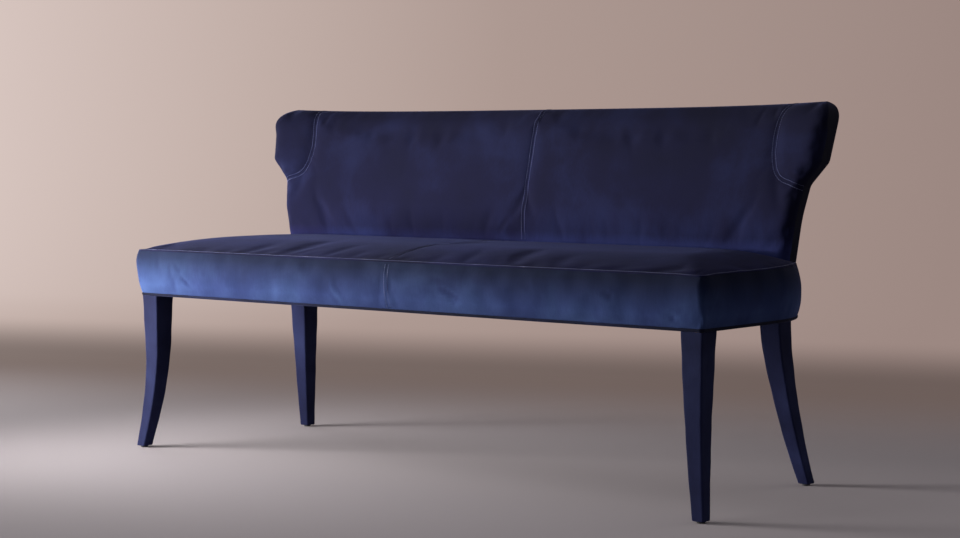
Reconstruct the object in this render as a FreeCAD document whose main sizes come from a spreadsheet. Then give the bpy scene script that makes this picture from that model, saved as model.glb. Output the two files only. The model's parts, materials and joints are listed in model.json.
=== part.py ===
"""Upholstered banquette bench with a winged back, velvet all over, on four sabre legs.

The bench is drawn with y = 0 at the front edge of the seat, y growing to the rear, x = 0 at the middle
seam and z = 0 on the floor. Every finished piece is then moved back by half the depth, so that the
origin lies under the middle of the bench.
"""
import FreeCAD, Part
import Sketcher
import math
import os

Vector = FreeCAD.Vector

os.makedirs("parts", exist_ok=True)
doc = FreeCAD.newDocument("banquette_bench")

# Driving dimensions, in millimetres
SIZES = [
    ("seat_length", 1600.0, "seat, corner to corner along the lower front edge"),
    ("seat_outline_depth", 555.0, "seat outline, front edge to where its rear edge would be"),
    ("seat_rear_radius", 275.0, "round rear corners of the seat in plan"),
    ("seat_corner_radius", 9.0, "front corners of the seat in plan"),
    ("seat_end_bow", 10.0, "how far each end bows out behind the front corner"),
    ("seat_underside", 372.0, "underside of the seat frame above the floor"),
    ("seat_seam_height", 482.0, "seam between the seat band and the seat top"),
    ("seat_front_swell", 6.0, "band stands out at the front above its lower edge"),
    ("seat_front_crown", 7.0, "extra swell at the middle of the front"),
    ("seat_end_swell", 10.0, "band stands out at the ends above its lower edge"),
    ("seat_crown", 31.0, "crown of the seat top above its seam"),
    ("seat_crown_reach", 178.0, "distance from the seam over which the crown rises"),
    ("back_setback", 480.0, "front of the seat to the face of the back at the middle"),
    ("back_thickness", 60.0, "back, face to rear"),
    ("back_height", 820.0, "top of the back at the middle, above the floor"),
    ("back_end_setback", 80.0, "end of the seat to the end of the back at its base"),
    ("back_wrap", 57.0, "how far the back curls forward at the ends of the seat"),
    ("back_knee_start", 557.0, "height where the face starts to lean"),
    ("back_knee_height", 45.0, "height of the bend below the lean"),
    ("back_knee_lean", 5.5, "rearward lean over the bend"),
    ("back_lean", 44.5, "rearward lean from the bend to the roll"),
    ("back_roll_height", 38.0, "height of the roll over the top"),
    ("back_roll_run", 54.0, "depth of the roll over the top"),
    ("back_top_radius", 13.0, "tighter rear edge of the top"),
    ("wing_rise", 8.0, "wings stand above the middle of the back"),
    ("wing_notch_height", 648.0, "notch under the wing above the floor"),
    ("wing_notch_flare", 34.0, "notch stands out from the base of the back"),
    ("wing_tip_height", 697.0, "low outer tip of the wing above the floor"),
    ("wing_tip_flare", 78.0, "low tip stands out from the base of the back"),
    ("wing_flare", 93.0, "outer side of the wing at its top from the base of the back"),
    ("wing_corner_radius", 44.0, "top outer corner of the wing"),
    ("wing_notch_radius", 18.0, "notch rounding"),
    ("wing_tip_radius", 16.0, "low tip rounding"),
    ("back_end_round", 12.0, "rounding of the back's ends, front and rear"),
    ("wing_seam_setback", 122.0, "wing seam inboard of the end of the seat"),
    ("wing_seam_height", 734.0, "height where the wing seam is furthest inboard"),
    ("cover_thickness", 1.2, "velvet"),
    ("cover_ease", 0.3, "gap between layers"),
    ("wadding_thickness", 4.5, "polyester wadding"),
    ("leg_top_width", 51.0, "leg at its top, along the bench"),
    ("leg_top_depth", 53.5, "leg at its top, across the bench"),
    ("leg_foot_width", 27.0, "leg at its foot, both ways"),
    ("leg_edge_radius", 3.5, "rounding of the upright leg edges"),
    ("leg_front_inset", 2.75, "front leg behind the front edge"),
    ("leg_rear_inset", 0.5, "rear leg inboard of the end of the back"),
    ("leg_rear_setback", 19.0, "rear leg centre behind the face of the back"),
    ("front_kick_out", 24.5, "front foot outward of the leg top"),
    ("front_kick_forward", 25.5, "front foot forward of the leg top"),
    ("rear_kick_out", 47.0, "rear foot outward of the leg top"),
    ("rear_kick_back", 59.0, "rear foot behind the leg top"),
    ("glide_height", 4.5, "glide under the foot"),
    ("glide_radius", 8.5, "glide"),
    ("glide_nail_radius", 1.3, "nail of the glide"),
    ("glide_nail_length", 15.0, "nail of the glide"),
    ("rail_thickness", 24.0, "seat rails"),
    ("rail_height", 65.0, "seat rails"),
    ("rail_setback", 10.0, "outer face of the rails behind the lower edge of the band"),
    ("block_size", 62.0, "front corner blocks, both ways"),
    ("rear_block_length", 62.0, "rear corner blocks, front to rear"),
    ("rear_block_width", 68.0, "rear corner blocks, inboard of the back's end"),
    ("cross_rail_height", 45.0, "cross rails"),
    ("dowel_radius", 5.0, "dowels of the seat frame"),
    ("dowel_length", 50.0, "dowels of the seat frame"),
    ("dowel_spacing", 24.0, "dowels of the seat frame, one above the other"),
    ("leg_bolt_radius", 4.0, "hanger bolts of the legs"),
    ("leg_bolt_depth", 42.0, "hanger bolts into the leg"),
    ("leg_bolt_spacing", 20.0, "two hanger bolts in each leg"),
    ("leg_bolt_inset", 3.5, "hanger bolts inward of the leg's middle"),
    ("nut_width", 13.0, "nuts, across the flats"),
    ("nut_height", 6.5, "nuts"),
    ("washer_radius", 9.0, "washers"),
    ("washer_thickness", 1.6, "washers"),
    ("recess_depth", 14.0, "recess for washer and nut in the corner blocks"),
    ("bolt_clearance", 0.5, "bolt holes larger than the bolts, in radius"),
    ("webbing_width", 50.0, "elastic webbing"),
    ("webbing_thickness", 2.0, "elastic webbing"),
    ("webbing_pitch", 71.0, "seat straps, middle to middle"),
    ("back_webbing_first", 500.0, "lowest back strap above the floor"),
    ("back_webbing_pitch", 78.0, "back straps, middle to middle"),
    ("post_width", 45.0, "inner posts of the back"),
    ("end_post_width", 51.0, "end posts of the back"),
    ("post_thickness", 22.0, "posts and top rail of the back"),
    ("top_rail_height", 43.0, "top rail of the back"),
    ("top_rail_cover", 17.0, "top of the top rail below the top of the back"),
    ("rear_rail_thickness", 24.7, "rear rail of the seat, under the back foam"),
    ("board_thickness", 2.6, "thin board behind the posts"),
    ("back_bolt_radius", 4.0, "bolts of the back"),
    ("back_bolt_head_radius", 8.0, "bolt heads of the back"),
    ("back_bolt_head_height", 4.5, "bolt heads of the back"),
    ("back_bolt_spacing", 32.0, "two bolts in each post, one above the other"),
    ("barrel_nut_radius", 7.0, "flanged nuts in front of the rear rail"),
    ("barrel_nut_height", 6.0, "flanged nuts in front of the rear rail"),
    ("dust_cover_thickness", 0.8, "dust cover"),
    ("welt_radius", 4.0, "piping along the lower edge of the seat"),
    ("joint_gap", 0.2, "gap between curved pieces that meet"),
    ("overrun", 5.0, "how far a cutting shape runs past what it cuts"),
]

# Lengths of the bars and boards that follow from the sizes above
DERIVED = [
    ("leg_bolt_length", "=rail_height + dust_cover_thickness + leg_bolt_depth - cover_ease",
     "hanger bolts of the legs"),
    ("leg_bolt_hole_radius", "=leg_bolt_radius + bolt_clearance", "bolt holes of the legs"),
    ("leg_bolt_hole_length", "=rail_height + dust_cover_thickness + 2 * overrun", "bolt holes of the legs"),
    ("recess_radius", "=washer_radius + bolt_clearance", "recess for washer and nut"),
    ("recess_length", "=recess_depth + overrun", "recess for washer and nut"),
    ("nut_reach", "=nut_width / sqrt(3)", "nuts, middle to corner"),
    ("glide_rim_radius", "=glide_height / 4", "rounded lower edge of the glide"),
    ("front_rail_length", "=seat_length - 2 * rail_setback - 2 * block_size", "front rail between its blocks"),
    ("dowel_half_length", "=dowel_length / 2", "dowel in each of the two pieces it joins"),
]

sheet = doc.addObject("Spreadsheet::Sheet", "Sizes")
for row, (alias, value, note) in enumerate(SIZES + DERIVED, start=1):
    sheet.set(f"A{row}", note)
    sheet.set(f"B{row}", str(value))
    sheet.setAlias(f"B{row}", alias)
doc.recompute()


def mm(alias):
    return float(sheet.get(alias))


# Sizes that several pieces share, worked out from the sheet
seat_half = mm("seat_length") / 2
skin = mm("cover_thickness")
ease = mm("cover_ease")
gap = mm("joint_gap")
overrun = mm("overrun")
wadding_outer = skin + ease
wadding_inner = wadding_outer + mm("wadding_thickness")
foam_outer = wadding_inner + ease
welt_radius = mm("welt_radius")
underside = mm("seat_underside")
leg_top = underside - mm("dust_cover_thickness")
welt_height = leg_top + welt_radius
band_bottom = welt_height + welt_radius + gap
seam_height = mm("seat_seam_height")
rail_top = underside + mm("rail_height")
strap_top = rail_top + mm("webbing_thickness")
foam_bottom = strap_top + ease
rail_outer = mm("rail_setback")
rail_inner = rail_outer + mm("rail_thickness")
back_half = seat_half - mm("back_end_setback")
back_thickness = mm("back_thickness")

# Depths inside the back, counted from its face to the rear
strap_front = back_thickness - skin - 2 * ease - mm("board_thickness") - ease
strap_front = strap_front - mm("post_thickness") - ease - mm("webbing_thickness")
strap_rear = strap_front + mm("webbing_thickness")
post_front = strap_rear + ease
post_rear = post_front + mm("post_thickness")
board_front = post_rear + ease
board_rear = board_front + mm("board_thickness")
rear_rail_rear = strap_rear
rear_rail_front = rear_rail_rear - mm("rear_rail_thickness")

knee_end = mm("back_knee_start") + mm("back_knee_height")
roll_start = mm("back_height") - mm("back_roll_height")
lean_slope = mm("back_lean") / (roll_start - knee_end)
top_rail_top = mm("back_height") - mm("top_rail_cover")
top_rail_bottom = top_rail_top - mm("top_rail_height")

# The whole depth, from the swollen front of the seat to the rear of the back's top, sets the origin
rear_top_lean = mm("back_knee_lean") + (mm("back_height") - mm("back_top_radius") - knee_end) * lean_slope
rear_reach = mm("back_setback") + back_thickness + rear_top_lean
front_reach = mm("seat_front_swell") + mm("seat_front_crown") + gap
mid_depth = (rear_reach - front_reach) / 2

# Reaches of cutting shapes: past either end, past the rear of the back and past its top
far = seat_half + mm("wing_corner_radius") + overrun
deep = mm("seat_outline_depth") + back_thickness + mm("back_lean")
high = mm("back_height") + mm("wing_rise") + overrun
sheet.set("D1", str(mid_depth))
sheet.setAlias("D1", "mid_depth")
doc.recompute()

nodes = []
XY_PLANE = "XY_Plane"
YZ_PLANE = "YZ_Plane"
UPWARD = Vector(0, 0, 1)
REARWARD = Vector(0, 1, 0)
ALONG = Vector(1, 0, 0)


def finish(item, label):
    """Names a finished piece and moves it from the drawing position to the bench's own origin."""
    item.Label = label
    item.setExpression("Placement.Base.y", "-Sizes.mid_depth")
    nodes.append(item)
    return item


def piece(label, shape):
    """A piece whose form comes from lofts and cuts of the bench's own forms."""
    item = doc.addObject("Part::Feature", label)
    item.Shape = shape
    return finish(item, label)


def bar(label, radius, length, start, toward):
    """A round bar from a start point; its radius and length are cells of the sheet or formulas of them."""
    item = doc.addObject("Part::Cylinder", label)
    item.setExpression("Radius", radius)
    item.setExpression("Height", length)
    item.Placement = FreeCAD.Placement(start, FreeCAD.Rotation(UPWARD, toward))
    return item


def joined(kind, label, base, tool):
    """Two primitives fused or one cut from the other."""
    item = doc.addObject(kind, label)
    item.Base = base
    item.Tool = tool
    return item


def group(label, items):
    """Identical fasteners share one node, each of them its own solid."""
    item = doc.addObject("Part::Compound", label)
    item.Links = items
    return finish(item, label)


def shapes_of(items):
    doc.recompute()
    return Part.makeCompound([item.Shape for item in items])


def sketch_on(body, plane_role, label, offset):
    """A sketch on one of the body's own origin planes, moved off it by a formula."""
    sketch = body.newObject("Sketcher::SketchObject", label)
    plane = [item for item in body.Origin.OriginFeatures if item.Role == plane_role][0]
    sketch.AttachmentSupport = [(plane, "")]
    sketch.MapMode = "FlatFace"
    sketch.setExpression("AttachmentOffset.Base.z", offset)
    return sketch


def hold(sketch, kind, places, formula):
    """A distance in a sketch that follows the sheet."""
    index = sketch.addConstraint(Sketcher.Constraint(kind, *places, overrun))
    sketch.setExpression(f"Constraints[{index}]", formula)


def only_solid(shape):
    """The largest solid of a cut, without slivers that a curved cut can leave."""
    return max(shape.Solids, key=lambda solid: solid.Volume)


def box(x_low, x_high, y_low, y_high, z_low, z_high):
    corner = Vector(x_low, y_low, z_low)
    return Part.makeBox(x_high - x_low, y_high - y_low, z_high - z_low, corner)


def line(start, end):
    return Part.LineSegment(start, end).toShape()


def arc(start, middle, end):
    return Part.Arc(start, middle, end).toShape()


# The seat's outline in plan

def seat_outline(height, inset, bow, corner_growth=0.0, swell_share=0.0):
    """One closed outline of the seat: bowed front, round front corners, bowed ends, big rear corners.

    The swell moves the ends and the rear out by the end swell, and the front by its own smaller one.
    """
    front = inset - mm("seat_front_swell") * swell_share
    inset = inset - mm("seat_end_swell") * swell_share
    half = seat_half - inset
    rear = mm("seat_outline_depth") - inset
    corner = max(mm("seat_corner_radius") + corner_growth, mm("seat_corner_radius") / 2)
    rear_corner = mm("seat_rear_radius") - inset
    bow_end = rear - rear_corner
    flare = mm("seat_end_bow")
    end_run = bow_end - front - corner
    end_radius = (end_run ** 2 + flare ** 2) / (2 * flare)
    end_angle = math.asin(end_run / end_radius) / 2
    rear_line = half + flare - rear_corner

    def at(x, y):
        return Vector(x, y, height)

    def side_edges(side):
        """Front corner, bowed end and rear corner on one side, from the front to the rear."""
        centre_x = half - corner
        diagonal = corner * math.sqrt(0.5)
        front_corner = arc(at(side * centre_x, front),
                           at(side * (centre_x + diagonal), front + corner - diagonal),
                           at(side * half, front + corner))
        bow_x = half + flare - end_radius * (1 - math.cos(end_angle))
        bowed_end = arc(at(side * half, front + corner),
                        at(side * bow_x, bow_end - end_radius * math.sin(end_angle)),
                        at(side * (half + flare), bow_end))
        reach = rear_corner * math.sqrt(0.5)
        rear_arc = arc(at(side * (half + flare), bow_end),
                       at(side * (rear_line + reach), bow_end + reach),
                       at(side * rear_line, rear))
        return [front_corner, bowed_end, rear_arc]

    front_edge = arc(at(corner - half, front), at(0, front - bow), at(half - corner, front))
    rear_edge = line(at(rear_line, rear), at(-rear_line, rear))
    edges = [front_edge] + side_edges(1) + [rear_edge] + side_edges(-1)
    return Part.Wire(Part.__sortEdges__(edges))


def seat_prism(inset, z_low, z_high):
    face = Part.Face(seat_outline(z_low, inset, gap))
    return face.extrude(Vector(0, 0, z_high - z_low))


# Shares of the band's height, and of its swell at the ends and at the middle of the front
BAND_HEIGHT_SHARES = (0.0, 0.2, 0.5, 0.8, 1.0)
BAND_SWELL_SHARES = (0.0, 0.6, 1.0, 0.95, 0.75)
BAND_CROWN_SHARES = (0.05, 0.5, 1.0, 0.75, 0.15)


def band_form(inset):
    """The boxed lower part of the seat, narrower at its lower edge and fuller at mid height."""
    wires = []
    for height_share, swell_share, crown_share in zip(
            BAND_HEIGHT_SHARES, BAND_SWELL_SHARES, BAND_CROWN_SHARES):
        height = band_bottom + (seam_height - band_bottom) * height_share
        bow = mm("seat_front_crown") * crown_share + gap
        wires.append(seat_outline(height, inset, bow, swell_share=swell_share))
    return Part.makeLoft(wires, True, False)


# Shares of the crown's reach and of its height
CROWN_REACH_SHARES = (0.0, 0.07, 0.2, 0.4, 0.62, 0.82, 1.0)
CROWN_HEIGHT_SHARES = (0.0, 0.15, 0.34, 0.6, 0.82, 0.95, 1.0)
CORNER_GROWTH_SHARE = 0.42
SEAM_SWELL_SHARE = BAND_SWELL_SHARES[-1]


def crown_form(depth):
    """The crowned top of the seat above its seam, lowered and drawn in by a layer's depth."""
    wires = []
    for reach_share, height_share in zip(CROWN_REACH_SHARES, CROWN_HEIGHT_SHARES):
        reach = mm("seat_crown_reach") * reach_share
        height = seam_height - depth + mm("seat_crown") * height_share
        bow = mm("seat_front_crown") * BAND_CROWN_SHARES[-1] + gap
        wires.append(seat_outline(height, reach + depth, bow, reach * CORNER_GROWTH_SHARE, SEAM_SWELL_SHARE))
    return Part.makeLoft(wires, True, False)


# The back's form: one leaning profile, carried forward towards the ends

STATION_SHARES = (-1.06, -0.96, -0.85, -0.72, -0.55, -0.3, 0.0, 0.3, 0.55, 0.72, 0.85, 0.96, 1.06)
WRAP_POWER = 2.5
RISE_POWER = 4


def back_face(x):
    """Depth of the back's face at its base, x along the bench."""
    return mm("back_setback") - mm("back_wrap") * (abs(x) / seat_half) ** WRAP_POWER


def lean_at(height):
    return mm("back_knee_lean") + (height - knee_end) * lean_slope


def knee_arc(x, face, upward):
    """The bend between the upright foot of the back and its lean."""
    rise = mm("back_knee_height")
    lean = mm("back_knee_lean")
    radius = (rise ** 2 + lean ** 2) / (2 * lean)
    angle = math.asin(rise / radius) / 2
    low = Vector(x, face, mm("back_knee_start"))
    middle = Vector(x, face + radius * (1 - math.cos(angle)), mm("back_knee_start") + radius * math.sin(angle))
    high = Vector(x, face + lean, knee_end)
    return arc(low, middle, high) if upward else arc(high, middle, low)


def level_arc(start, end, start_first):
    """An arc that is level at its end point, as the roll and the rear edge of the top are."""
    run = end.y - start.y
    rise = end.z - start.z
    radius = (run ** 2 + rise ** 2) / (2 * rise)
    angle = math.atan2(abs(run), radius - rise) / 2
    side = math.copysign(1, run)
    middle = Vector(start.x, end.y - side * radius * math.sin(angle), end.z - radius * (1 - math.cos(angle)))
    return arc(start, middle, end) if start_first else arc(end, middle, start)


def back_form(inset):
    """The whole outer form of the back, drawn in by a layer's depth on every side but its foot."""
    wires = []
    for share in STATION_SHARES:
        x = seat_half * share
        face = back_face(x) + inset
        rear = back_face(x) + back_thickness - inset
        top = mm("back_height") + mm("wing_rise") * abs(share) ** RISE_POWER - inset
        roll = Vector(x, face + lean_at(roll_start), roll_start)
        top_radius = mm("back_top_radius")
        rear_top = Vector(x, rear + lean_at(top - top_radius), top - top_radius)
        crest = Vector(x, rear_top.y - top_radius, top)
        foot_front = Vector(x, face, underside)
        foot_rear = Vector(x, rear, underside)
        knee_front = Vector(x, face, mm("back_knee_start"))
        knee_rear = Vector(x, rear, mm("back_knee_start"))
        bend_front = Vector(x, face + mm("back_knee_lean"), knee_end)
        bend_rear = Vector(x, rear + mm("back_knee_lean"), knee_end)
        edges = [
            line(foot_front, knee_front),
            knee_arc(x, face, True),
            line(bend_front, roll),
            level_arc(roll, crest, True),
            level_arc(rear_top, crest, False),
            line(rear_top, bend_rear),
            knee_arc(x, rear, False),
            line(knee_rear, foot_rear),
            line(foot_rear, foot_front),
        ]
        wires.append(Part.Wire(edges))
    return Part.makeLoft(wires, True, False)


def back_slice(front, rear, z_top, z_bottom=None):
    """A curved slab of the back between two depths behind its face, with a plain top."""
    bottom = underside if z_bottom is None else z_bottom
    wires = []
    for share in STATION_SHARES:
        x = seat_half * share
        near = back_face(x) + front
        far = back_face(x) + rear
        edges = [
            line(Vector(x, near, bottom), Vector(x, near, mm("back_knee_start"))),
            knee_arc(x, near, True),
            line(Vector(x, near + mm("back_knee_lean"), knee_end), Vector(x, near + lean_at(z_top), z_top)),
            line(Vector(x, near + lean_at(z_top), z_top), Vector(x, far + lean_at(z_top), z_top)),
            line(Vector(x, far + lean_at(z_top), z_top), Vector(x, far + mm("back_knee_lean"), knee_end)),
            knee_arc(x, far, False),
            line(Vector(x, far, mm("back_knee_start")), Vector(x, far, bottom)),
            line(Vector(x, far, bottom), Vector(x, near, bottom)),
        ]
        wires.append(Part.Wire(edges))
    return Part.makeLoft(wires, True, False)


def rounded_outline(points, radii):
    """A closed outline in the x-z plane through corner points, each corner rounded by its radius."""
    edges = []
    count = len(points)
    starts = []
    ends = []
    for index in range(count):
        corner = points[index]
        before = (points[index - 1] - corner).normalize()
        after = (points[(index + 1) % count] - corner).normalize()
        half_angle = before.getAngle(after) / 2
        radius = radii[index]
        reach = radius / math.tan(half_angle) if radius else 0
        starts.append(corner + before * reach)
        ends.append(corner + after * reach)
        if radius:
            bisector = (before + after).normalize()
            middle = corner + bisector * (radius / math.sin(half_angle) - radius)
            edges.append(arc(starts[index], middle, ends[index]))
        if index:
            edges.append(line(ends[index - 1], starts[index]))
    edges.append(line(ends[-1], starts[0]))
    return Part.Wire(Part.__sortEdges__(edges))


def wing_outline(inset):
    """Front view of the back: upright ends, the notch, the wing's low tip and its round top corner."""
    top = mm("back_height") + mm("wing_rise")
    foot = underside - overrun
    right = [
        (back_half, foot, 0),
        (back_half, (knee_end + foam_bottom) / 2, mm("wing_notch_radius")),
        (back_half + mm("wing_notch_flare"), mm("wing_notch_height"), mm("wing_notch_radius") + inset),
        (back_half + mm("wing_tip_flare"), mm("wing_tip_height"), mm("wing_tip_radius") - inset),
        (back_half + mm("wing_flare"), top, mm("wing_corner_radius") - inset),
    ]
    outline = [(x, z, radius) for x, z, radius in right] + [(-x, z, radius) for x, z, radius in right[::-1]]
    corners = [Vector(x, 0, z) for x, z, radius in outline]
    moved = []
    count = len(corners)
    for index in range(count):
        moved.append(inset_corner(corners[index - 1], corners[index], corners[(index + 1) % count], inset))
    return rounded_outline(moved, [radius for x, z, radius in outline])


def inset_corner(before, corner, after, inset):
    """Where two neighbouring sides of an outline meet once both are moved inward."""
    first = (corner - before).normalize()
    second = (after - corner).normalize()
    first_inward = Vector(-first.z, 0, first.x)
    second_inward = Vector(-second.z, 0, second.x)
    both = first_inward + second_inward
    return corner + both * (2 * inset / both.dot(both))


def back_prism(inset):
    """The back's front view carried through its depth."""
    face = Part.Face(wing_outline(inset))
    return face.extrude(REARWARD * deep)


# A face whose normal turns less than this share towards the front or rear is an end face
END_FACE_SHARE = 0.05


def rounded_back(depth):
    """The back's form at a layer's depth, cut to its front view, its end edges rounded."""
    form = only_solid(back_form(depth).common(back_prism(depth)))
    edges = []
    for edge in form.Edges:
        if abs(edge.CenterOfMass.x) < back_half - mm("end_post_width"):
            continue
        middle = edge.valueAt((edge.FirstParameter + edge.LastParameter) / 2)
        ends_seen = 0
        for face in form.ancestorsOfType(edge, Part.Face):
            across, along = face.Surface.parameter(middle)
            if abs(face.normalAt(across, along).y) < END_FACE_SHARE:
                ends_seen = ends_seen + 1
        if ends_seen == 1:
            edges.append(edge)
    return form.makeFillet(mm("back_end_round") - depth, edges)


# The wing seam's points as shares of its run from the innermost point out to the notch
WING_SEAM_HIGH_SHARE = 0.36
WING_SEAM_UPPER_SHARE = 0.27
WING_SEAM_LOWER_SHARE = 0.18
WING_SEAM_DROP_SHARE = 0.73


def wing_region(side):
    """Everything outboard of the curved wing seam, down to the notch."""
    seam_x = seat_half - mm("wing_seam_setback")
    notch_x = back_half + mm("wing_notch_flare")
    run = notch_x - seam_x
    notch_z = mm("wing_notch_height")
    seam_z = mm("wing_seam_height")
    top = mm("back_height") + mm("wing_corner_radius")
    outer = seat_half + mm("wing_corner_radius")
    high_x = seam_x + run * WING_SEAM_HIGH_SHARE

    def at(x, z):
        return Vector(side * x, 0, z)

    high_end = at(high_x, top)
    upper = at(seam_x + (high_x - seam_x) * WING_SEAM_UPPER_SHARE, (seam_z + top) / 2)
    inner = at(seam_x, seam_z)
    lower = at(seam_x + run * WING_SEAM_LOWER_SHARE, seam_z - (seam_z - notch_z) * WING_SEAM_DROP_SHARE)
    notch = at(notch_x, notch_z)
    past = at(outer, notch_z)
    corner = at(outer, top)
    wire = Part.Wire([arc(high_end, upper, inner), arc(inner, lower, notch), line(notch, past),
                      line(past, corner), line(corner, high_end)])
    return Part.Face(wire).extrude(REARWARD * deep)


# Forms that many pieces are cut from
behind_face = back_slice(-gap, deep, high, underside - overrun)
back_keepout = behind_face.common(box(-back_half - gap, back_half + gap, 0, 2 * deep, 0, high))
seat_room = box(-far, far, 0, 2 * deep, 0, foam_bottom)

# The outermost room inside the velvet of the back, and its front view inside the end borders
inner_room = rounded_back(wadding_outer)
prism_cover = back_prism(mm("back_end_round"))


# Seat frame: hardwood rails on edge, doweled into solid corner blocks

rear_block_front = back_face(back_half) + rear_rail_rear - mm("rear_block_length")
rear_block_inner = back_half - mm("rear_block_width")
block_inner = seat_half - rail_outer - mm("block_size")
block_rear = rail_outer + mm("block_size")
dowel_heights = [underside + (mm("rail_height") + side * mm("dowel_spacing")) / 2 for side in (-1, 1)]
dowel_half = mm("dowel_length") / 2
rail_centre = (rail_outer + rail_inner) / 2
rear_rail_middle = (rear_rail_front + rear_rail_rear) / 2

# The end rail meets the rear block where the round corner has already turned in
corner_centre_x = seat_half + mm("seat_end_bow") - mm("seat_rear_radius")
corner_centre_y = mm("seat_outline_depth") - mm("seat_rear_radius")
end_rail_reach = mm("seat_rear_radius") - rail_centre
end_rail_x = corner_centre_x + math.sqrt(end_rail_reach ** 2 - (rear_block_front - corner_centre_y) ** 2)


def dowel(label, joint, direction):
    """A dowel centred on the joint between two pieces."""
    start = joint - direction * dowel_half
    return bar(label, "Sizes.dowel_radius", "Sizes.dowel_length", start, direction)


# The curved end rail meets its rear block askew, and the dowels there follow the rail
slant_y = (end_rail_x - corner_centre_x) / end_rail_reach
slant_x = (rear_block_front - corner_centre_y) / end_rail_reach

dowels = []
for side in (-1, 1):
    along_end_rail = Vector(-side * slant_x, slant_y, 0)
    rear_joint_y = back_face(rear_block_inner) + rear_rail_middle
    for height in dowel_heights:
        dowels.append(dowel("front_dowel", Vector(side * block_inner, rail_centre, height), ALONG))
        dowels.append(dowel("end_dowel", Vector(side * (seat_half - rail_centre), block_rear, height), REARWARD))
        dowels.append(dowel("end_rear_dowel", Vector(side * end_rail_x, rear_block_front, height), along_end_rail))
        dowels.append(dowel("rear_dowel", Vector(side * rear_block_inner, rear_joint_y, height), ALONG))
dowel_group = shapes_of(dowels)

outline_outer = seat_prism(rail_outer, underside, rail_top)
outline_inner = seat_prism(rail_inner, underside - overrun, rail_top + overrun)
ring = outline_outer.cut(outline_inner)
rear_limit = back_slice(rear_rail_rear, deep, high, underside - overrun)
rear_zone_front = back_slice(rear_rail_front, rear_rail_rear, high, underside)

# The straight front rail: a padded board with dowel holes in both ends
front_rail = doc.addObject("PartDesign::Body", "front_rail")
plan = sketch_on(front_rail, XY_PLANE, "front_rail_plan", "Sizes.seat_underside")
corners = [Vector(x, y, 0) for x, y in ((-block_inner, rail_outer), (block_inner, rail_outer),
                                        (block_inner, rail_inner), (-block_inner, rail_inner))]
for index, corner in enumerate(corners):
    plan.addGeometry(Part.LineSegment(corner, corners[(index + 1) % len(corners)]), False)
for index in range(len(corners)):
    plan.addConstraint(Sketcher.Constraint("Coincident", index, 2, (index + 1) % len(corners), 1))
    plan.addConstraint(Sketcher.Constraint("Vertical" if index % 2 else "Horizontal", index))
hold(plan, "DistanceX", (0, 1, 0, 2), "Sizes.front_rail_length")
hold(plan, "DistanceY", (1, 1, 1, 2), "Sizes.rail_thickness")
hold(plan, "DistanceX", (-1, 1, 0, 2), "Sizes.front_rail_length / 2")
hold(plan, "DistanceY", (-1, 1, 0, 2), "Sizes.rail_setback")
board = front_rail.newObject("PartDesign::Pad", "front_rail_board")
board.Profile = plan
board.setExpression("Length", "Sizes.rail_height")
for side, name in ((-1, "left"), (1, "right")):
    drill = sketch_on(front_rail, YZ_PLANE, f"front_rail_holes_{name}", f"{side} * Sizes.front_rail_length / 2")
    for index, height in enumerate(dowel_heights):
        centre = Vector(rail_centre, height, 0)
        drill.addGeometry(Part.Circle(centre, UPWARD, mm("dowel_radius")), False)
        hold(drill, "Radius", (index,), "Sizes.dowel_radius")
        hold(drill, "DistanceX", (-1, 1, index, 3), "Sizes.rail_setback + Sizes.rail_thickness / 2")
        sign = "-" if height == dowel_heights[0] else "+"
        hold(drill, "DistanceY", (-1, 1, index, 3),
             f"Sizes.seat_underside + (Sizes.rail_height {sign} Sizes.dowel_spacing) / 2")
    holes = front_rail.newObject("PartDesign::Pocket", f"front_rail_dowel_holes_{name}")
    holes.Profile = drill
    holes.Reversed = side < 0
    holes.setExpression("Length", "Sizes.dowel_half_length")
finish(front_rail, "front_rail")

rear_rail_blank = rear_zone_front.common(
    box(-rear_block_inner, rear_block_inner, 0, deep, underside, rail_top))

end_rail_blanks = {}
front_blocks = {}
rear_blocks = {}
for side, name in ((-1, "left"), (1, "right")):
    x_span = sorted((side * block_inner, side * far))
    end_rail_blanks[name] = only_solid(ring.common(
        box(x_span[0], x_span[1], block_rear, rear_block_front, underside, rail_top)))
    front_blocks[name] = outline_outer.common(
        box(x_span[0], x_span[1], 0, block_rear, underside, rail_top))
    x_rear = sorted((side * rear_block_inner, side * far))
    rear_blocks[name] = only_solid(outline_outer.common(
        box(x_rear[0], x_rear[1], rear_block_front, deep, underside, rail_top)).cut(rear_limit))

# Legs: the top sections, the kick of the foot and the bolts all follow these places
LEG_HEIGHT_SHARES = (0.0, 0.2, 0.4, 0.6, 0.8, 1.0)
FRONT_KICK_SHARES = (0.0, 0.0, 0.02, 0.2, 0.54, 1.0)
REAR_KICK_SHARES = (0.0, 0.085, 0.25, 0.46, 0.71, 1.0)
foot_height = mm("glide_height")
front_leg_x = seat_half - mm("leg_top_width") / 2
front_leg_y = mm("leg_front_inset") + mm("leg_top_depth") / 2
rear_leg_x = back_half - mm("leg_rear_inset") - mm("leg_top_width") / 2
rear_leg_y = back_face(rear_leg_x) + mm("leg_rear_setback")

front_kick = (mm("front_kick_out"), -mm("front_kick_forward"), FRONT_KICK_SHARES)
rear_kick = (mm("rear_kick_out"), mm("rear_kick_back"), REAR_KICK_SHARES)
LEGS = {
    "front_left": (-1, front_leg_x, front_leg_y, *front_kick),
    "front_right": (1, front_leg_x, front_leg_y, *front_kick),
    "rear_left": (-1, rear_leg_x, rear_leg_y, *rear_kick),
    "rear_right": (1, rear_leg_x, rear_leg_y, *rear_kick),
}


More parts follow.
